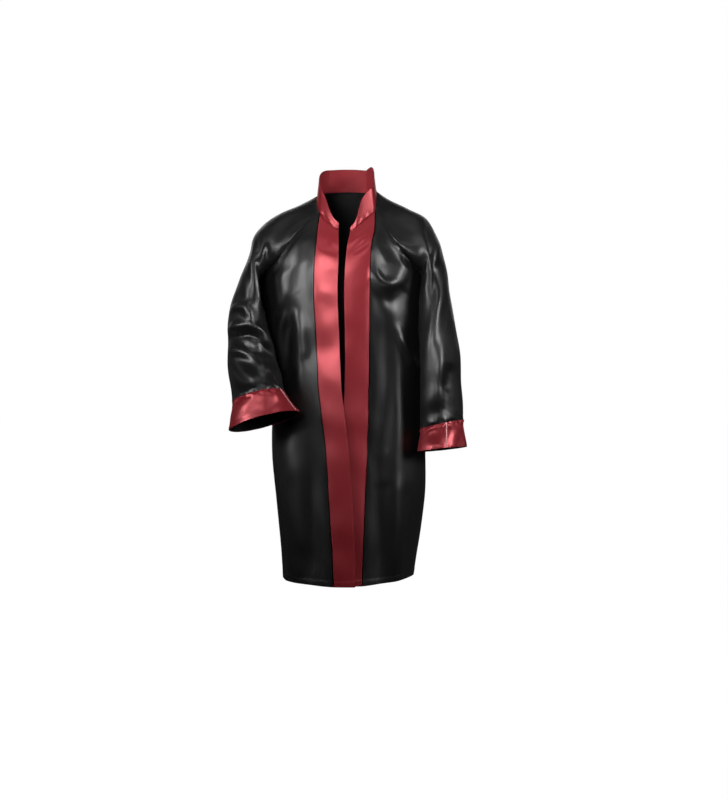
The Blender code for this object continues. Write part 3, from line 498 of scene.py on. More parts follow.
def band_turn(side, share, height):
    """Turn of a line that runs down a band, from its front edge (0) to its outer edge (1)."""
    name = SIDE_NAMES[side]
    x = EDGE.at(name + "_x", height) - side * share * EDGE.at(name + "_band", height)
    return turn_at(side, x, height)


def hem_height(side, turn):
    """Height of the hem at a turn from the front centre towards one side."""
    degrees = np.degrees(turn)
    round_turn = degrees if side == RIGHT else 360.0 - degrees
    return HEM.at("height", np.clip(round_turn, 0.0, 360.0))


def seam_polyline(start, rows):
    """A raglan seam as turns and heights, from its upper end to the underarm."""
    table = np.array((start,) + tuple((math.radians(turn), height) for turn, height in rows))
    curves = Curves(SEAM_TABLE_COLUMNS, table, knots=np.arange(len(table)))
    where = np.linspace(0.0, len(table) - 1.0, CURVE_STEPS)
    return np.stack([curves.at("turn", where), curves.at("height", where)], axis=1)


def even_on_form(side, turns_heights, count):
    """Turns and heights of points spaced evenly along a line on the torso form."""
    points = form_point(side, turns_heights[:, 0], turns_heights[:, 1])
    joined = np.concatenate([points, turns_heights], axis=1)
    return resample(joined, count)[:, 3:]


def front_top(side):
    """Top edge of a front panel: neckline over the band, then the raglan seam."""
    share = np.linspace(0.0, 1.0, BAND_COLUMNS + 1)
    heights = NECKLINE.at(SIDE_NAMES[side], share)
    turns = band_turn(side, share, heights)
    neck = np.stack([turns, heights], axis=1)
    seam = even_on_form(side, seam_polyline(tuple(neck[-1]), FRONT_SEAMS[side]), SEAM_COLUMNS)
    return neck, seam


def back_top(side):
    """Top edge of half the back panel: raglan seam up from the underarm, then the neckline."""
    neck_start = (math.radians(BACK_NECK_TURN), BACK_NECK_HEIGHTS[0])
    seam = even_on_form(side, seam_polyline(neck_start, BACK_SEAMS[side]), SEAM_COLUMNS)[::-1]
    share = np.linspace(0.0, 1.0, BACK_NECK_COLUMNS + 1)
    turns = neck_start[0] + (math.pi - neck_start[0]) * share
    side_height, centre_height = BACK_NECK_HEIGHTS
    heights = side_height + (centre_height - side_height) * np.sin(share * math.pi / 2)
    neck = np.stack([turns, heights], axis=1)
    return seam, neck


def panel_heights(top_heights, hem_heights):
    down = np.linspace(0.0, 1.0, PANEL_ROWS + 1)[:, None]
    return top_heights[None, :] * (1.0 - down) + hem_heights[None, :] * down


def settle_share(top_share, even_share):
    """Columns start where they meet the seam and settle to an even spacing further down."""
    down = np.linspace(0.0, 1.0, PANEL_ROWS + 1)[:, None]
    hold = 1.0 - smoothstep(0.0, SETTLE_REACH, down)
    return even_share[None, :] + (top_share - even_share)[None, :] * hold


def lap(side, points):
    """Moves the front edges apart where one front lies over the other."""
    deep = 1.0 - smoothstep(LAP_HEIGHTS[1], LAP_HEIGHTS[0], points[..., 2])
    near_edge = 1.0 - smoothstep(LAP_REACH[0], LAP_REACH[1], np.abs(points[..., 0]))
    points[..., 1] += LAP_SHIFT[side] * deep * near_edge
    return points


def front_grid(side):
    """Middle surface of a front panel: rows from the top to the hem, columns to the side seam."""
    neck, seam = front_top(side)
    top = np.concatenate([neck, seam[1:]])
    band_share = np.linspace(0.0, 1.0, BAND_COLUMNS + 1)
    even = np.concatenate([np.zeros(BAND_COLUMNS + 1), np.linspace(0.0, 1.0, SEAM_COLUMNS + 1)[1:]])
    band_edge_top = band_turn(side, 1.0, top[:, 1])
    top_share = (top[:, 0] - band_edge_top) / (math.pi / 2 - band_edge_top)
    top_share[:BAND_COLUMNS + 1] = 0.0
    lowest = float(hem_height(side, 0.0))
    hem_start = band_turn(side, 1.0, lowest)
    hem_turns = hem_start + (math.pi / 2 - hem_start) * even
    heights = panel_heights(top[:, 1], hem_height(side, hem_turns))
    shares = settle_share(top_share, even)
    outer = band_turn(side, 1.0, heights)
    turns = outer + (math.pi / 2 - outer) * shares
    band = band_turn(side, band_share[None, :], heights[:, :BAND_COLUMNS + 1])
    turns[:, :BAND_COLUMNS + 1] = band
    return lap(side, form_point(side, turns, heights))


def back_half(side):
    """Middle surface of half the back panel, columns from the side seam to the back centre."""
    seam, neck = back_top(side)
    top = np.concatenate([seam, neck[1:]])
    even = np.linspace(0.0, 1.0, SEAM_COLUMNS + BACK_NECK_COLUMNS + 1)
    top_share = (top[:, 0] - math.pi / 2) / (math.pi / 2)
    heights = panel_heights(top[:, 1], hem_height(side, math.pi / 2 * (1.0 + even)))
    turns = math.pi / 2 * (1.0 + settle_share(top_share, even))
    return form_point(side, turns, heights)


def neck_side(side, front_end, back_end):
    """Neckline over the sleeve: points from the front seam to the back one by the neck point."""
    u = np.linspace(0.0, 1.0, 2 * SLEEVE_NECK_COLUMNS + 1)[:, None]
    middle = np.array(NECK_POINTS[side])
    return (front_end * 2 * (u - 0.5) * (u - 1.0) - middle * 4 * u * (u - 1.0)
            + back_end * 2 * u * (u - 0.5))


def armhole_loop(side):
    """Upper end of a sleeve, from the neck point round the front, the underarm and the back."""
    front = form_point(side, *front_top(side)[1].T)
    back = form_point(side, *back_top(side)[0].T)
    neck = neck_side(side, front[0], back[-1])
    middle = SLEEVE_NECK_COLUMNS
    return np.concatenate([neck[middle::-1], front[1:], back[1:], neck[:middle - 1:-1][1:]])


def sleeve_curves(side):
    """Curves through the sleeve's table, by the distance along the middle of the sleeve."""
    rows = np.array(SLEEVE_TABLES[side])
    centres = np.stack([rows[:, 0] + rows[:, 2], 2 * rows[:, 4], rows[:, 1] + rows[:, 3]], axis=1) / 2
    steps = np.linalg.norm(np.diff(centres, axis=0), axis=1)
    distance = np.concatenate(([0.0], np.cumsum(steps)))
    return Curves(SLEEVE_COLUMNS, rows, knots=distance), distance


def sleeve_ring(curves, where, turns):
    """Ring of a sleeve at a distance along it. Turn 0 is its outer end, a right angle its front."""
    value = {name: float(curves.at(name, where)) for name in SLEEVE_COLUMNS}
    turns = turns + math.radians(value["twist"])
    middle = np.array([value["outer_x"] + value["inner_x"], 2 * value["mid_y"],
                       value["outer_z"] + value["inner_z"]]) / 2
    outward = np.array([value["outer_x"] - value["inner_x"], 2 * value["lean"],
                        value["outer_z"] - value["inner_z"]]) / 2
    forward = np.array([0.0, -value["half_depth"], value["rise"]])
    return middle + np.cos(turns)[:, None] * outward + np.sin(turns)[:, None] * forward


def sleeve_grids(side):
    """Middle surfaces of a sleeve and its cuff, as rows of rings."""
    curves, distance = sleeve_curves(side)
    loop = armhole_loop(side)
    turns = np.linspace(0.0, 2 * math.pi, len(loop))
    misfit = loop - sleeve_ring(curves, 0.0, turns)
    rings = []
    for where in np.linspace(0.0, distance[-2], SLEEVE_ROWS + 1):
        hold = 1.0 - float(smoothstep(0.0, SEAM_SHAPE_REACH, where))
        rings.append(sleeve_ring(curves, where, turns) + misfit * hold)
    rings[0] = loop
    cuff = [sleeve_ring(curves, where, turns)
            for where in np.linspace(distance[-2], distance[-1], CUFF_ROWS + 1)]
    cuff[0] = rings[-1]
    return np.array(rings), np.array(cuff)


def collar_grid(neckline):
    """Middle surface of the collar: rows from its top edge down to the neckline."""
    steps = np.linalg.norm(np.diff(neckline, axis=0), axis=1)
    share = np.concatenate(([0.0], np.cumsum(steps))) / steps.sum()
    height = COLLAR.at("height", share)[:, None]
    inward = np.array(COLLAR_CENTRE)[None, :] - neckline[:, :2]
    rise = np.concatenate([unit(inward) * COLLAR_INWARD, np.ones((len(neckline), 1))], axis=1)
    levels = 1.0 - np.arange(COLLAR_ROWS + 1) / COLLAR_ROWS
    return np.array([neckline + rise * height * level for level in levels])


def middle_surface():
    """Grids of the middle surface by name, and the sign that turns each one's normals out."""
    grids = {}
    signs = {}
    for side, name in SIDE_NAMES.items():
        sleeve, cuff = sleeve_grids(side)
        grids["front_" + name] = front_grid(side)
        grids["sleeve_" + name] = sleeve
        grids["cuff_" + name] = cuff
        signs["front_" + name] = side
        signs["sleeve_" + name] = -side
        signs["cuff_" + name] = -side
    right_back = back_half(RIGHT)
    left_back = back_half(LEFT)[:, ::-1]
    grids["back"] = np.concatenate([right_back, left_back[:, 1:]], axis=1)
    signs["back"] = 1
    middle = SLEEVE_NECK_COLUMNS
    right_loop = grids["sleeve_right"][0]
    left_loop = grids["sleeve_left"][0]
    back_neck = grids["back"][0, SEAM_COLUMNS:-SEAM_COLUMNS]
    neckline = np.concatenate([
        grids["front_right"][0, :BAND_COLUMNS + 1],
        right_loop[middle - 1::-1], right_loop[-2:-middle - 2:-1],
        back_neck[1:],
        left_loop[-middle:], left_loop[1:middle + 1],
        grids["front_left"][0, BAND_COLUMNS - 1::-1]])
    grids["collar"] = collar_grid(neckline)
    signs["collar"] = 1
    return grids, signs


def face_normals(grid, sign):
    """Outward normal of every cell of a grid, as long as the cell is large."""
    across = grid[:-1, 1:] - grid[1:, :-1]
    down = grid[1:, 1:] - grid[:-1, :-1]
    return np.cross(across, down) * sign


def own_normals(grid, sign):
    """Outward normals of a grid's points, from this piece alone."""
    normal = face_normals(grid, sign)
    total = np.zeros(grid.shape)
    for rows in (np.s_[:-1], np.s_[1:]):
        for columns in (np.s_[:-1], np.s_[1:]):
            total[rows, columns] += normal
    return unit(total)


def shared_normals(grids, signs):
    """Outward normals of every grid's points. Pieces that share a point share its normal too,
    which halves the angle between them."""
    keys = {}
    numbers = {}
    for name, grid in grids.items():
        rounded = np.round(grid.reshape(-1, 3) / SHARE_DISTANCE).astype(int)
        numbers[name] = np.array([keys.setdefault(tuple(key), len(keys)) for key in rounded])
    total = np.zeros((len(keys), 3))
    for name, grid in grids.items():
        np.add.at(total, numbers[name], own_normals(grid, signs[name]).reshape(-1, 3))
    return {name: unit(total[numbers[name]]).reshape(grid.shape) for name, grid in grids.items()}


def fold_height(points, normals, folds):
    """How far the folds lift the middle surface along its normal."""
    lift = np.zeros(points.shape[:-1])
    for row in folds:
        fold = dict(zip(FOLD_COLUMNS, row))
        start = np.array([fold["from_x"], fold["from_z"]])
        run = np.array([fold["to_x"], fold["to_z"]]) - start
        length = np.linalg.norm(run)
        run = run / length
        offset = points[..., [0, 2]] - start
        along = (offset @ run) / length
        inside = np.clip(along, 0.0, 1.0)
        sideways = offset @ np.array([-run[1], run[0]]) - fold["bow"] * 4.0 * inside * (1.0 - inside)
        taper = smoothstep(-FOLD_END, FOLD_END, along) * smoothstep(-FOLD_END, FOLD_END, 1.0 - along)
        facing = smoothstep(0.0, FOLD_FACING, -normals[..., 1] * fold["face"])
        lift += fold["height"] * np.exp(-(sideways / fold["half_width"]) ** 2) * taper * facing
    return lift


def seam_fade(grid):
    """0 on a grid's top row and 1 from a short way below it, so that shared seams stay put."""
    steps = np.linalg.norm(np.diff(grid, axis=0), axis=2)
    below = np.concatenate([np.zeros((1, grid.shape[1])), np.cumsum(steps, axis=0)])
    return smoothstep(0.0, SEAM_FADE, below)


def folded(grids, normals):
    """The middle surface with its folds. Points that two pieces share move alike."""
    folds = {"front_right": BODY_FOLDS, "front_left": BODY_FOLDS, "back": BODY_FOLDS}
    for side, name in SIDE_NAMES.items():
        folds["sleeve_" + name] = SLEEVE_FOLDS[side]
        folds["cuff_" + name] = SLEEVE_FOLDS[side]
    result = dict(grids)
    for name, rows in folds.items():
        lift = fold_height(grids[name], normals[name], rows)
        if not name.startswith("cuff"):
            lift *= seam_fade(grids[name])
        result[name] = grids[name] + normals[name] * lift[..., None]
    return result


def pull_in(grid, sign, normals, gap):
    """Moves a piece's edges in along its surface by half a seam's gap, more at a sharp crease."""
    own = own_normals(grid, sign)
    flat_share = np.maximum(np.sum(own * normals, axis=2, keepdims=True), SHARPEST_CREASE)
    reach = gap / 2 / flat_share
    moved = grid.copy()
    edges = ((np.s_[0, :], np.s_[1, :]), (np.s_[-1, :], np.s_[-2, :]),
             (np.s_[:, 0], np.s_[:, 1]), (np.s_[:, -1], np.s_[:, -2]))
    for edge, inner in edges:
        tangent = unit(np.gradient(grid[edge], axis=0))
        inward = unit(np.cross(own[edge], tangent))
        facing = np.sign(np.sum(inward * (grid[inner] - grid[edge]), axis=1, keepdims=True))
        moved[edge] += inward * facing * reach[edge]
    return moved


def smooth_path(path):
    """Points along a smooth curve through the points of a crease's path, and their shares."""
    points = np.array(path, dtype=float)
    steps = np.linalg.norm(np.diff(points, axis=0), axis=1)
    distance = np.concatenate(([0.0], np.cumsum(steps)))
    curve = Curves(("x", "z"), points, knots=distance)
    where = np.linspace(0.0, distance[-1], CREASE_STEPS + 1)
    return np.stack([curve.at("x", where), curve.at("z", where)], axis=1)


def crease_height(points, normals, creases):
    """How far the finer creases lift the surface along its normal."""
    lift = np.zeros(points.shape[:-1])
    flat = points[..., [0, 2]]
    for row in creases:
        crease = dict(zip(CREASE_COLUMNS, row))
        line = smooth_path(crease["path"])
        half_width = crease["half_width"] * CREASE_WIDEN
        reach = CREASE_REACH * half_width
        near = np.all((flat > line.min(axis=0) - reach) & (flat < line.max(axis=0) + reach), axis=-1)
        near &= normals[..., 1] * crease["face"] < 0
        if not near.any():
            continue
        spot = flat[near]
        best = np.full(len(spot), np.inf)
        share = np.zeros(len(spot))
        for i in range(CREASE_STEPS):
            run = line[i + 1] - line[i]
            offset = spot - line[i]
            t = np.clip(offset @ run / (run @ run), 0.0, 1.0)
            distance = np.linalg.norm(offset - t[:, None] * run, axis=1)
            closer = distance < best
            best = np.where(closer, distance, best)
            share = np.where(closer, (i + t) / CREASE_STEPS, share)
        width = half_width * (0.85 + 0.4 * share)
        profile = np.exp(-(best / width) ** 2)
        profile -= CREASE_FLANK * np.exp(-(best / width / CREASE_FLANK_WIDTH) ** 2)
        taper = smoothstep(0.0, CREASE_END, share) * smoothstep(0.0, CREASE_END, 1.0 - share)
        facing = smoothstep(0.0, CREASE_FACING, -normals[..., 1][near] * crease["face"])
        lift[near] += CREASE_LOWER * crease["height"] * profile * taper * facing / (1.0 - CREASE_FLANK)
    return lift


def softened(lift, rounds):
    """The lift averaged with its neighbours, so no crease has a sharp end or corner."""
    for _ in range(rounds):
        padded = np.pad(lift, 1, mode="edge")
        lift = (2 * lift + padded[:-2, 1:-1] + padded[2:, 1:-1] + padded[1:-1, :-2] + padded[1:-1, 2:]) / 6
    return lift


def tuck(points, normals, side, lift, outward):
    """The swelling of one side's sleeve or body where the two touch under the arm."""
    height, reach, _, _ = TUCKS[side]
    level = np.exp(-((points[..., 2] - height) / reach) ** 2)
    facing = smoothstep(*TUCK_FACING, -side * outward * normals[..., 0])
    start = smoothstep(0.0, TUCK_START, distance_from_top(points))
    return lift * level * facing * start


def cloth_waves(points, waves):
    """A field of soft uneven waves in space. Low level values make ridges that run down."""
    count, lengths, level, height, seed = waves
    chance = np.random.default_rng(seed)
    total = np.zeros(points.shape[:-1])
    for _ in range(count):
        direction = chance.normal(size=3) * (1.0, 1.0, level)
        direction = unit(direction) * 2 * math.pi / chance.uniform(*lengths)
        total += np.sin(points @ direction + chance.uniform(0.0, 2 * math.pi))
    return total * height / math.sqrt(count / 2)


def distance_from_top(grid):
    steps = np.linalg.norm(np.diff(grid, axis=0), axis=2)
    return np.concatenate([np.zeros((1, grid.shape[1])), np.cumsum(steps, axis=0)])


def seam_distance(grid, seam):
    """Distance of each point along the surface to a sewn edge, or to a sewn column of the grid."""
    if seam in ("top", "bottom"):
        down = distance_from_top(grid)
        return down if seam == "top" else down[-1:] - down
    along = distance_from_top(grid.transpose(1, 0, 2)).T
    if seam == "first":
        return along
    if seam == "last":
        return along[:, -1:] - along
    return np.abs(along - along[:, seam:seam + 1])


def pucker_waves(points):
    """A field of small uneven waves in space, about one high."""
    chance = np.random.default_rng(PUCKER_SEED)
    total = np.zeros(points.shape[:-1])
    for _ in range(PUCKER_WAVES):
        direction = unit(chance.normal(size=3))
        wavelength = chance.uniform(*PUCKER_LENGTHS)
        phase = chance.uniform(0.0, 2 * math.pi)
        total += np.sin(points @ direction * 2 * math.pi / wavelength + phase)
    return total / math.sqrt(PUCKER_WAVES / 2)


def sewn(grid, normals, seams, pucker_height):
    """The surface with its seams sunk in and puckered, the lengthwise ones less than the others."""
    sink = np.zeros(grid.shape[:2])
    pucker = np.zeros(grid.shape[:2])
    for seam in seams:
        share = 1.0 if seam in ("top", "bottom") else LENGTHWISE_SHARE
        distance = seam_distance(grid, seam)
        sink = np.maximum(sink, share * np.exp(-(distance / SEAM_SINK_WIDTH) ** 2))
        pucker = np.maximum(pucker, share * np.exp(-(distance / PUCKER_WIDTH) ** 2))
    lift = pucker_height * pucker_waves(grid) * pucker - SEAM_SINK * sink
    return grid + normals * lift[..., None]


def creased(grids, normals):
    """The middle surface with its finer creases and soft waves."""
    result = dict(grids)
    for name in ("front_right", "front_left", "back"):
        lift = crease_height(grids[name], normals[name], BODY_CREASES)
        waves = cloth_waves(grids[name], BODY_WAVES)
        if name != "back":
            share = smoothstep(-2.0, 2.0, np.arange(waves.shape[1]) - float(BAND_COLUMNS))
            waves = share * waves + (1 - share) * cloth_waves(grids[name], BAND_WAVES)
        fade = seam_fade(grids[name])
        lift = softened((lift + waves) * fade, BODY_SOFTENING) * fade
        for side in SIDE_NAMES:
            lift += tuck(grids[name], normals[name], side, TUCKS[side][3], 1)
        result[name] = grids[name] + normals[name] * lift[..., None]
    for side, side_name in SIDE_NAMES.items():
        name = "sleeve_" + side_name
        lift = crease_height(grids[name], normals[name], SLEEVE_CREASES[side])
        bottom = distance_from_top(grids[name])
        lift += cloth_waves(grids[name], SLEEVE_WAVES)
        fade = seam_fade(grids[name]) * smoothstep(0.0, SEAM_FADE, bottom[-1:] - bottom)
        lift = softened(lift * fade, SLEEVE_SOFTENING) * fade
        lift += tuck(grids[name], normals[name], side, TUCKS[side][2], -1)
        result[name] = grids[name] + normals[name] * lift[..., None]
        cuff = "cuff_" + side_name
        lift = cloth_waves(grids[cuff], CUFF_WAVES)
        for edge in ("top", "first", "last"):
            lift *= smoothstep(0.0, CUFF_WAVE_START, seam_distance(grids[cuff], edge))
        result[cuff] = grids[cuff] + normals[cuff] * lift[..., None]
    return result


SEAMS = {
    "front_right": ("top", "last"), "front_left": ("top", "last"), "back": ("top", "first", "last"),
    "sleeve": ("top", "bottom", "first", "last", SLEEVE_NECK_COLUMNS + SEAM_COLUMNS),
    "cuff": ("top",), "collar": ("bottom",),
}


def shell(name, grid, normals, sign, thickness, offset, looks, closed_column):
    """A thin closed shell on a grid, with a rounded rim, a cut-true UV map and a duller inside.

    One column may keep its place, so that a fine seam there shows no gap.
    """
    rows, columns = grid.shape[:2]
    trimmed = pull_in(grid, sign, normals, SEAM_GAP)
    if closed_column is not None:
        trimmed[1:-1, closed_column] = grid[1:-1, closed_column]
    half = (thickness / 2)[..., None]
    outer = trimmed + normals * (offset + half)
    inner = trimmed + normals * (offset - half)
    number = np.arange(rows * columns).reshape(rows, columns)
    under = number + rows * columns
    rim_rows = np.concatenate([np.zeros(columns, int), np.arange(1, rows), np.full(columns - 1, rows - 1),
                               np.arange(rows - 2, 0, -1)])
    rim_columns = np.concatenate([np.arange(columns), np.full(rows - 1, columns - 1),
                                  np.arange(columns - 2, -1, -1), np.zeros(rows - 2, int)])
    inside_rows = np.clip(rim_rows, 1, rows - 2)
    inside_columns = np.clip(rim_columns, 1, columns - 2)
    outward = unit(trimmed[rim_rows, rim_columns] - trimmed[inside_rows, inside_columns])
    rim_middle = (outer[rim_rows, rim_columns] + inner[rim_rows, rim_columns]) / 2
    rim_middle += outward * half[rim_rows, rim_columns] * 0.9
    lip = np.arange(len(rim_rows)) + 2 * rows * columns
    points = np.concatenate([outer.reshape(-1, 3), inner.reshape(-1, 3), rim_middle])
    a, b, c, d = number[:-1, :-1], number[:-1, 1:], number[1:, 1:], number[1:, :-1]
    top_faces = np.stack([a, b, c, d], axis=-1).reshape(-1, 4)
    under_faces = np.stack([a, d, c, b], axis=-1).reshape(-1, 4) + rows * columns
    rim = number[rim_rows, rim_columns]
    following = np.roll(rim, -1)
    lip_following = np.roll(lip, -1)
    rim_faces = np.concatenate([
        np.stack([following, rim, lip, lip_following], axis=-1),
        np.stack([lip_following, lip, rim + rows * columns, following + rows * columns], axis=-1)])
    faces = np.concatenate([top_faces, under_faces, rim_faces])
    if sign < 0:
        faces = faces[:, ::-1]
    slots = np.concatenate([np.zeros(len(top_faces), int), np.ones(len(under_faces), int),
                            np.zeros(len(rim_faces), int)])
    mesh = bpy.data.meshes.new(name)
    mesh.from_pydata(points.tolist(), [], faces.tolist())
    across = np.broadcast_to(distance_from_top(grid.transpose(1, 0, 2)).mean(axis=1), (rows, columns))
    down = np.broadcast_to(distance_from_top(grid).mean(axis=1)[:, None], (rows, columns))
    flat = np.stack([across, -down], axis=-1)
    uv = np.concatenate([flat.reshape(-1, 2), flat.reshape(-1, 2), flat[rim_rows, rim_columns]])
    corners = np.zeros(len(mesh.loops), int)
    mesh.loops.foreach_get("vertex_index", corners)
    layer = mesh.uv_layers.new(name="cut")
    layer.data.foreach_set("uv", uv[corners].astype(np.float32).ravel())
    for look in looks:
        mesh.materials.append(look)
    mesh.polygons.foreach_set("material_index", slots)
    mesh.shade_smooth()
    on_rim = np.zeros(len(points), bool)
    on_rim[rim] = True
    on_rim[rim + rows * columns] = True
    ends = np.zeros(len(mesh.edges) * 2, int)
    mesh.edges.foreach_get("vertices", ends)
    ends = ends.reshape(-1, 2)
    outside = ends < rows * columns
    sharp = on_rim[ends].all(axis=1) & (outside[:, 0] == outside[:, 1])
    mesh.attributes.new("sharp_edge", "BOOLEAN", "EDGE").data.foreach_set("value", sharp)
    mesh.update()
    piece = bpy.data.objects.new(name, mesh)
    bpy.context.scene.collection.objects.link(piece)
    return piece


def put_on(piece, slot, *nodes):
    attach(piece, "root")
    if nodes:
        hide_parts(*nodes)
    return piece


def inset_line(surface, normals, edge, inset):
    """Points and normals of a line that runs along an edge of a surface, a distance in from it."""
    turned = {"top": (surface, normals), "bottom": (surface[::-1], normals[::-1]),
              "first": (surface.transpose(1, 0, 2), normals.transpose(1, 0, 2)),
              "last": (surface.transpose(1, 0, 2)[::-1], normals.transpose(1, 0, 2)[::-1])}[edge]
    points, directions = turned
    distance = distance_from_top(points)
    line = np.empty((points.shape[1], 3))
    upright = np.empty((points.shape[1], 3))
    for j in range(points.shape[1]):
        for axis in range(3):
            line[j, axis] = np.interp(inset, distance[:, j], points[:, j, axis])
            upright[j, axis] = np.interp(inset, distance[:, j], directions[:, j, axis])
    return line, unit(upright)


def stitch_points(line, upright, length, gap):
    """Start, end and normal of every stitch along a line."""
    steps = np.linalg.norm(np.diff(line, axis=0), axis=1)
    distance = np.concatenate(([0.0], np.cumsum(steps)))
    starts = np.arange(gap, distance[-1] - length - gap, length + gap)

    def read(values, where):
        return np.stack([np.interp(where, distance, values[:, i]) for i in range(3)], axis=1)

    return read(line, starts), read(line, starts + length), unit(read(upright, starts + length / 2))


STITCH_LENGTH = 0.0026
STITCH_SPACE = 0.0009
STITCH_RADIUS = 0.00028


def stitches(name, lines, look):
    """Rows of small thread stitches, as one piece."""
    points = []
    faces = []
    for line, upright in lines:
        starts, ends, normals = stitch_points(line, upright, STITCH_LENGTH, STITCH_SPACE)
        for start, end, normal in zip(starts, ends, normals):
            run = unit(end - start)
            side = np.cross(run, normal)
            base = len(points)
            points.append(start)
            for share in (0.22, 0.78):
                centre = start + (end - start) * share + normal * STITCH_RADIUS * 0.6
                for turn in range(4):
                    angle = math.pi / 4 + turn * math.pi / 2
                    points.append(centre + STITCH_RADIUS * (math.cos(angle) * side + math.sin(angle) * normal))
            points.append(end)
            last = base + 9
            for turn in range(4):
                following = (turn + 1) % 4
                faces.append((base, base + 1 + following, base + 1 + turn))
                faces.append((base + 1 + turn, base + 1 + following, base + 5 + following, base + 5 + turn))
                faces.append((base + 5 + turn, base + 5 + following, last))
    mesh = bpy.data.meshes.new(name)
    mesh.from_pydata([tuple(p) for p in points], [], faces)
    mesh.materials.append(look)
    mesh.shade_smooth()
    piece = bpy.data.objects.new(name, mesh)
    bpy.context.scene.collection.objects.link(piece)
    return piece


def rib(name, line, upright, radius, height, look, sides=8):
    """A low round rib along a line on a surface."""
    tangent = unit(np.gradient(line, axis=0))
    side = unit(np.cross(tangent, upright))
    turns = np.arange(sides) / sides * 2 * math.pi
    rings = (line[:, None, :] + radius * np.cos(turns)[None, :, None] * side[:, None, :]
             + height * np.sin(turns)[None, :, None] * upright[:, None, :])
    points = rings.reshape(-1, 3)
    number = np.arange(len(points)).reshape(len(line), sides)
    following = np.roll(number, -1, axis=1)
    faces = np.stack([number[:-1], following[:-1], following[1:], number[1:]], axis=-1).reshape(-1, 4).tolist()
    faces.append(number[0, ::-1].tolist())
    faces.append(number[-1].tolist())
    mesh = bpy.data.meshes.new(name)
    mesh.from_pydata(points.tolist(), [], faces)
    mesh.materials.append(look)
    mesh.shade_smooth()
    piece = bpy.data.objects.new(name, mesh)
    bpy.context.scene.collection.objects.link(piece)
    return piece


def satin(name, dark, light, roughness, specular, tint, sheen, anisotropic, metallic):
    """Satin cloth: uneven colour, threads that run down the cut, and small slubs."""
    material = bpy.data.materials.new(name)
    material.use_nodes = True
    tree = material.node_tree
    nodes = tree.nodes
    links = tree.links
    shader = nodes["Principled BSDF"]
    uv = nodes.new("ShaderNodeUVMap")
    uv.uv_map = "cut"
    place = nodes.new("ShaderNodeTexCoord")
    patch = nodes.new("ShaderNodeTexNoise")
    patch.inputs["Scale"].default_value = 9.0
    patch.inputs["Detail"].default_value = 3.0
    links.new(place.outputs["Object"], patch.inputs["Vector"])
    colour = nodes.new("ShaderNodeMix")
    colour.data_type = "RGBA"
    colour.inputs["A"].default_value = (*dark, 1.0)
    colour.inputs["B"].default_value = (*light, 1.0)
    links.new(patch.outputs["Fac"], colour.inputs["Factor"])
    links.new(colour.outputs["Result"], shader.inputs["Base Color"])
    stretch = nodes.new("ShaderNodeMapping")
    stretch.inputs["Scale"].default_value = (2600.0, 260.0, 1.0)
    links.new(uv.outputs["UV"], stretch.inputs["Vector"])
    threads = nodes.new("ShaderNodeTexNoise")
    threads.inputs["Scale"].default_value = 1.0
    threads.inputs["Detail"].default_value = 2.0
    links.new(stretch.outputs["Vector"], threads.inputs["Vector"])
    slub = nodes.new("ShaderNodeMapping")
    slub.inputs["Scale"].default_value = (210.0, 60.0, 1.0)
    links.new(uv.outputs["UV"], slub.inputs["Vector"])
    ripple = nodes.new("ShaderNodeTexNoise")
    ripple.inputs["Scale"].default_value = 1.0
    ripple.inputs["Detail"].default_value = 3.0
    links.new(slub.outputs["Vector"], ripple.inputs["Vector"])
    rough = nodes.new("ShaderNodeMapRange")
    rough.inputs["To Min"].default_value = roughness - 0.05
    rough.inputs["To Max"].default_value = roughness + 0.07
    links.new(ripple.outputs["Fac"], rough.inputs["Value"])
    links.new(rough.outputs["Result"], shader.inputs["Roughness"])
    weave = nodes.new("ShaderNodeBump")
    weave.inputs["Strength"].default_value = 0.25
    weave.inputs["Distance"].default_value = 0.00012
    links.new(threads.outputs["Fac"], weave.inputs["Height"])
    waver = nodes.new("ShaderNodeBump")
    waver.inputs["Strength"].default_value = 0.02
    waver.inputs["Distance"].default_value = 0.00035
    links.new(ripple.outputs["Fac"], waver.inputs["Height"])
    links.new(weave.outputs["Normal"], waver.inputs["Normal"])
    links.new(waver.outputs["Normal"], shader.inputs["Normal"])
    along = nodes.new("ShaderNodeTangent")
    along.direction_type = "UV_MAP"
    along.uv_map = "cut"
    links.new(along.outputs["Tangent"], shader.inputs["Tangent"])
    shader.inputs["Anisotropic"].default_value = anisotropic
    shader.inputs["Metallic"].default_value = metallic
    shader.inputs["Specular IOR Level"].default_value = specular
    shader.inputs["Specular Tint"].default_value = (*tint, 1.0)
    shader.inputs["Sheen Weight"].default_value = sheen
    shader.inputs["Sheen Roughness"].default_value = 0.4
    return material


def thread(name, color):
    material = bpy.data.materials.new(name)
    material.use_nodes = True
    nodes = material.node_tree.nodes
    links = material.node_tree.links
    shader = nodes["Principled BSDF"]
    place = nodes.new("ShaderNodeTexCoord")
    twist = nodes.new("ShaderNodeTexNoise")
    twist.inputs["Scale"].default_value = 900.0
    links.new(place.outputs["Object"], twist.inputs["Vector"])
    shade = nodes.new("ShaderNodeMix")
    shade.data_type = "RGBA"
    shade.inputs["A"].default_value = (*(0.7 * c for c in color), 1.0)
    shade.inputs["B"].default_value = (*(1.2 * c for c in color), 1.0)
    links.new(twist.outputs["Fac"], shade.inputs["Factor"])
    links.new(shade.outputs["Result"], shader.inputs["Base Color"])
    shader.inputs["Roughness"].default_value = 0.45
    return material


def cloth_thickness(shape, hem_rows=0):
    thickness = np.full(shape, CLOTH)
    if hem_rows:
        thickness[-hem_rows:] = HEM_CLOTH
    return thickness


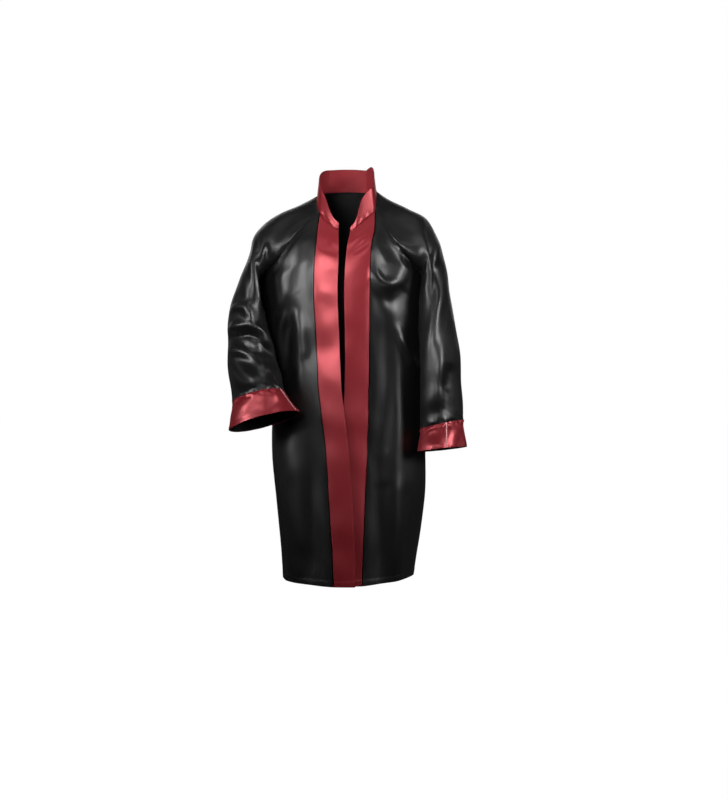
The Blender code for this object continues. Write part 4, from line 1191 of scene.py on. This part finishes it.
def dress():
    """Builds every cloth piece, with its sewing."""
    grids, signs = middle_surface()
    grids = folded(grids, shared_normals(grids, signs))
    grids = creased(grids, shared_normals(grids, signs))
    normals = shared_normals(grids, signs)
    for name in grids:
        kind = name if name in SEAMS else name.split("_")[0]
        pucker_height = CUFF_PUCKER_HEIGHT if kind == "cuff" else PUCKER_HEIGHT
        grids[name] = sewn(grids[name], normals[name], SEAMS[kind], pucker_height)
    normals = shared_normals(grids, signs)

    black = satin("black_satin", BLACK, BLACK_LIGHTER, 0.35, 0.36, (1.0, 1.0, 1.0), 0.01, 0.62, 0.0)
    black_back = satin("black_satin_back", BLACK, BLACK_LIGHTER, 0.65, 0.30, (1.0, 1.0, 1.0), 0.03, 0.0, 0.0)
    red = satin("red_satin", RED, RED_LIGHTER, 0.34, 0.90, (1.0, 0.42, 0.44), 0.02, 0.70, 0.28)
    red_back = satin("red_satin_back", RED, RED_LIGHTER, 0.62, 0.35, (1.0, 0.6, 0.6), 0.03, 0.0, 0.0)
    black_looks = (black, black_back)
    red_looks = (red, red_back)
    cuff_looks = (red, black_back)
    black_thread = thread("black_thread", (0.03, 0.03, 0.033))
    red_thread = thread("red_thread", (0.42, 0.05, 0.07))
    seam_thread = thread("pale_seam", (0.72, 0.36, 0.37))

    step = np.s_[::PANEL_ROW_STEP]
    areas = {}
    black_lines = []
    red_lines = []

    def add(name, grid, normal, sign, looks, slot, offset=0.0, hem=0, closed_column=None):
        thickness = cloth_thickness(grid.shape[:2], hem)
        piece = shell(name + "_cloth", grid, normal, sign, thickness, offset, looks, closed_column)
        put_on(piece, slot, name)
        areas[name] = piece
        surface = grid + normal * (offset + thickness[..., None] / 2)
        return surface

    back = add("back_panel", grids["back"][step], normals["back"][step], signs["back"], black_looks,
               "black_satin", hem=4)
    black_lines.append(inset_line(back, normals["back"][step], "bottom", 0.011))
    collar = add("collar", grids["collar"], normals["collar"], signs["collar"], red_looks, "red_satin")
    red_lines.append(inset_line(collar, normals["collar"], "top", 0.004))
    half = SLEEVE_NECK_COLUMNS + SEAM_COLUMNS
    for side_name in SIDE_NAMES.values():
        front = "front_" + side_name
        sleeve = "sleeve_" + side_name
        cuff = "cuff_" + side_name
        panel = add(front + "_panel", grids[front][step], normals[front][step], signs[front], black_looks,
                    "black_satin", hem=4)
        black_lines.append(inset_line(panel[:, BAND_COLUMNS:], normals[front][step][:, BAND_COLUMNS:],
                                      "bottom", 0.011))
        band_grid = grids[front][:, :BAND_COLUMNS + 1]
        band_normals = normals[front][:, :BAND_COLUMNS + 1]
        band = add("band_" + side_name, band_grid, band_normals, signs[front], red_looks, "red_satin",
                   offset=BAND_LIFT, hem=8)
        for edge in ("first", "last"):
            red_lines.append(inset_line(band, band_normals, edge, 0.0022))
        red_lines.append(inset_line(band, band_normals, "bottom", 0.009))
        edge_line, edge_upright = inset_line(band, band_normals, "last", 0.0004)
        roll = rib("band_edge_" + side_name, edge_line, edge_upright, 0.0008, 0.0007, red)
        put_on(roll, "red_satin")
        add(sleeve + "_front", grids[sleeve][:, :half + 1], normals[sleeve][:, :half + 1], signs[sleeve],
            black_looks, "black_satin", closed_column=-1)
        add(sleeve + "_back", grids[sleeve][:, half:], normals[sleeve][:, half:], signs[sleeve],
            black_looks, "black_satin", closed_column=0)
        cuff_surface = add(cuff, grids[cuff], normals[cuff], signs[cuff], cuff_looks, "red_satin", hem=3)
        red_lines.append(inset_line(cuff_surface, normals[cuff], "top", 0.002))
        red_lines.append(inset_line(cuff_surface, normals[cuff], "bottom", 0.004))
        seam = rib("cuff_seam_" + side_name, cuff_surface[:, 0], normals[cuff][:, 0], 0.0011, 0.0006,
                   seam_thread)
        put_on(seam, "red_satin")
    put_on(stitches("stitches_black", black_lines, black_thread), "black_satin")
    put_on(stitches("stitches_red", red_lines, red_thread), "red_satin")
    return areas


def seen_by_camera(tree, seen, unseen, output):
    """Shows the camera one shader and every other ray another."""
    path = tree.nodes.new("ShaderNodeLightPath")
    mix = tree.nodes.new("ShaderNodeMixShader")
    tree.links.new(path.outputs["Is Camera Ray"], mix.inputs[0])
    tree.links.new(unseen, mix.inputs[1])
    tree.links.new(seen, mix.inputs[2])
    tree.links.new(mix.outputs[0], output.inputs["Surface"])


def stage():
    """Pale floor and background, camera and soft studio lights."""
    scene = bpy.context.scene
    floor_height = -1.10
    reach = 60.0
    mesh = bpy.data.meshes.new("floor")
    corners = [(-reach, -reach, floor_height), (reach, -reach, floor_height),
               (reach, reach, floor_height), (-reach, reach, floor_height)]
    mesh.from_pydata(corners, [], [(0, 1, 2, 3)])
    floor = bpy.data.objects.new("floor", mesh)
    scene.collection.objects.link(floor)
    paper = bpy.data.materials.new("pale_paper")
    paper.use_nodes = True
    tree = paper.node_tree
    shader = tree.nodes["Principled BSDF"]
    shader.inputs["Base Color"].default_value = (0.30, 0.30, 0.30, 1.0)
    shader.inputs["Roughness"].default_value = 0.95
    shader.inputs["Specular IOR Level"].default_value = 0.05
    glow = tree.nodes.new("ShaderNodeEmission")
    glow.inputs["Strength"].default_value = PALE
    lit = tree.nodes.new("ShaderNodeAddShader")
    soft = tree.nodes.new("ShaderNodeBsdfDiffuse")
    soft.inputs["Color"].default_value = (0.10, 0.10, 0.10, 1.0)
    tree.links.new(glow.outputs[0], lit.inputs[0])
    tree.links.new(soft.outputs[0], lit.inputs[1])
    seen_by_camera(tree, lit.outputs[0], shader.outputs[0], tree.nodes["Material Output"])
    mesh.materials.append(paper)

    camera_data = bpy.data.cameras.new("camera")
    camera_data.sensor_fit = "VERTICAL"
    camera_data.sensor_height = 36.0
    camera_data.lens = 85.0
    camera_data.dof.use_dof = False
    camera = bpy.data.objects.new("camera", camera_data)
    camera.location = (0.033, -3.87, -0.42)
    camera.rotation_euler = (math.pi / 2, 0.0, 0.0)
    scene.collection.objects.link(camera)
    scene.camera = camera

    for name, place, aim, size, power, spread in LIGHTS:
        data = bpy.data.lights.new(name, "AREA")
        data.shape = "RECTANGLE"
        data.size, data.size_y = size
        data.energy = power
        data.spread = math.radians(spread)
        light = bpy.data.objects.new(name, data)
        light.location = place
        light.rotation_euler = (Vector(aim) - Vector(place)).to_track_quat("-Z", "Y").to_euler()
        light.visible_camera = False
        scene.collection.objects.link(light)

    world = bpy.data.worlds.new("studio")
    world.use_nodes = True
    tree = world.node_tree
    dim = tree.nodes["Background"]
    dim.inputs["Color"].default_value = (1.0, 1.0, 1.0, 1.0)
    dim.inputs["Strength"].default_value = DIM
    bright = tree.nodes.new("ShaderNodeBackground")
    bright.inputs["Color"].default_value = (1.0, 1.0, 1.0, 1.0)
    bright.inputs["Strength"].default_value = PALE
    seen_by_camera(tree, bright.outputs[0], dim.outputs[0], tree.nodes["World Output"])
    scene.world = world
    scene.view_settings.view_transform = "Standard"


stage()
pieces = dress()
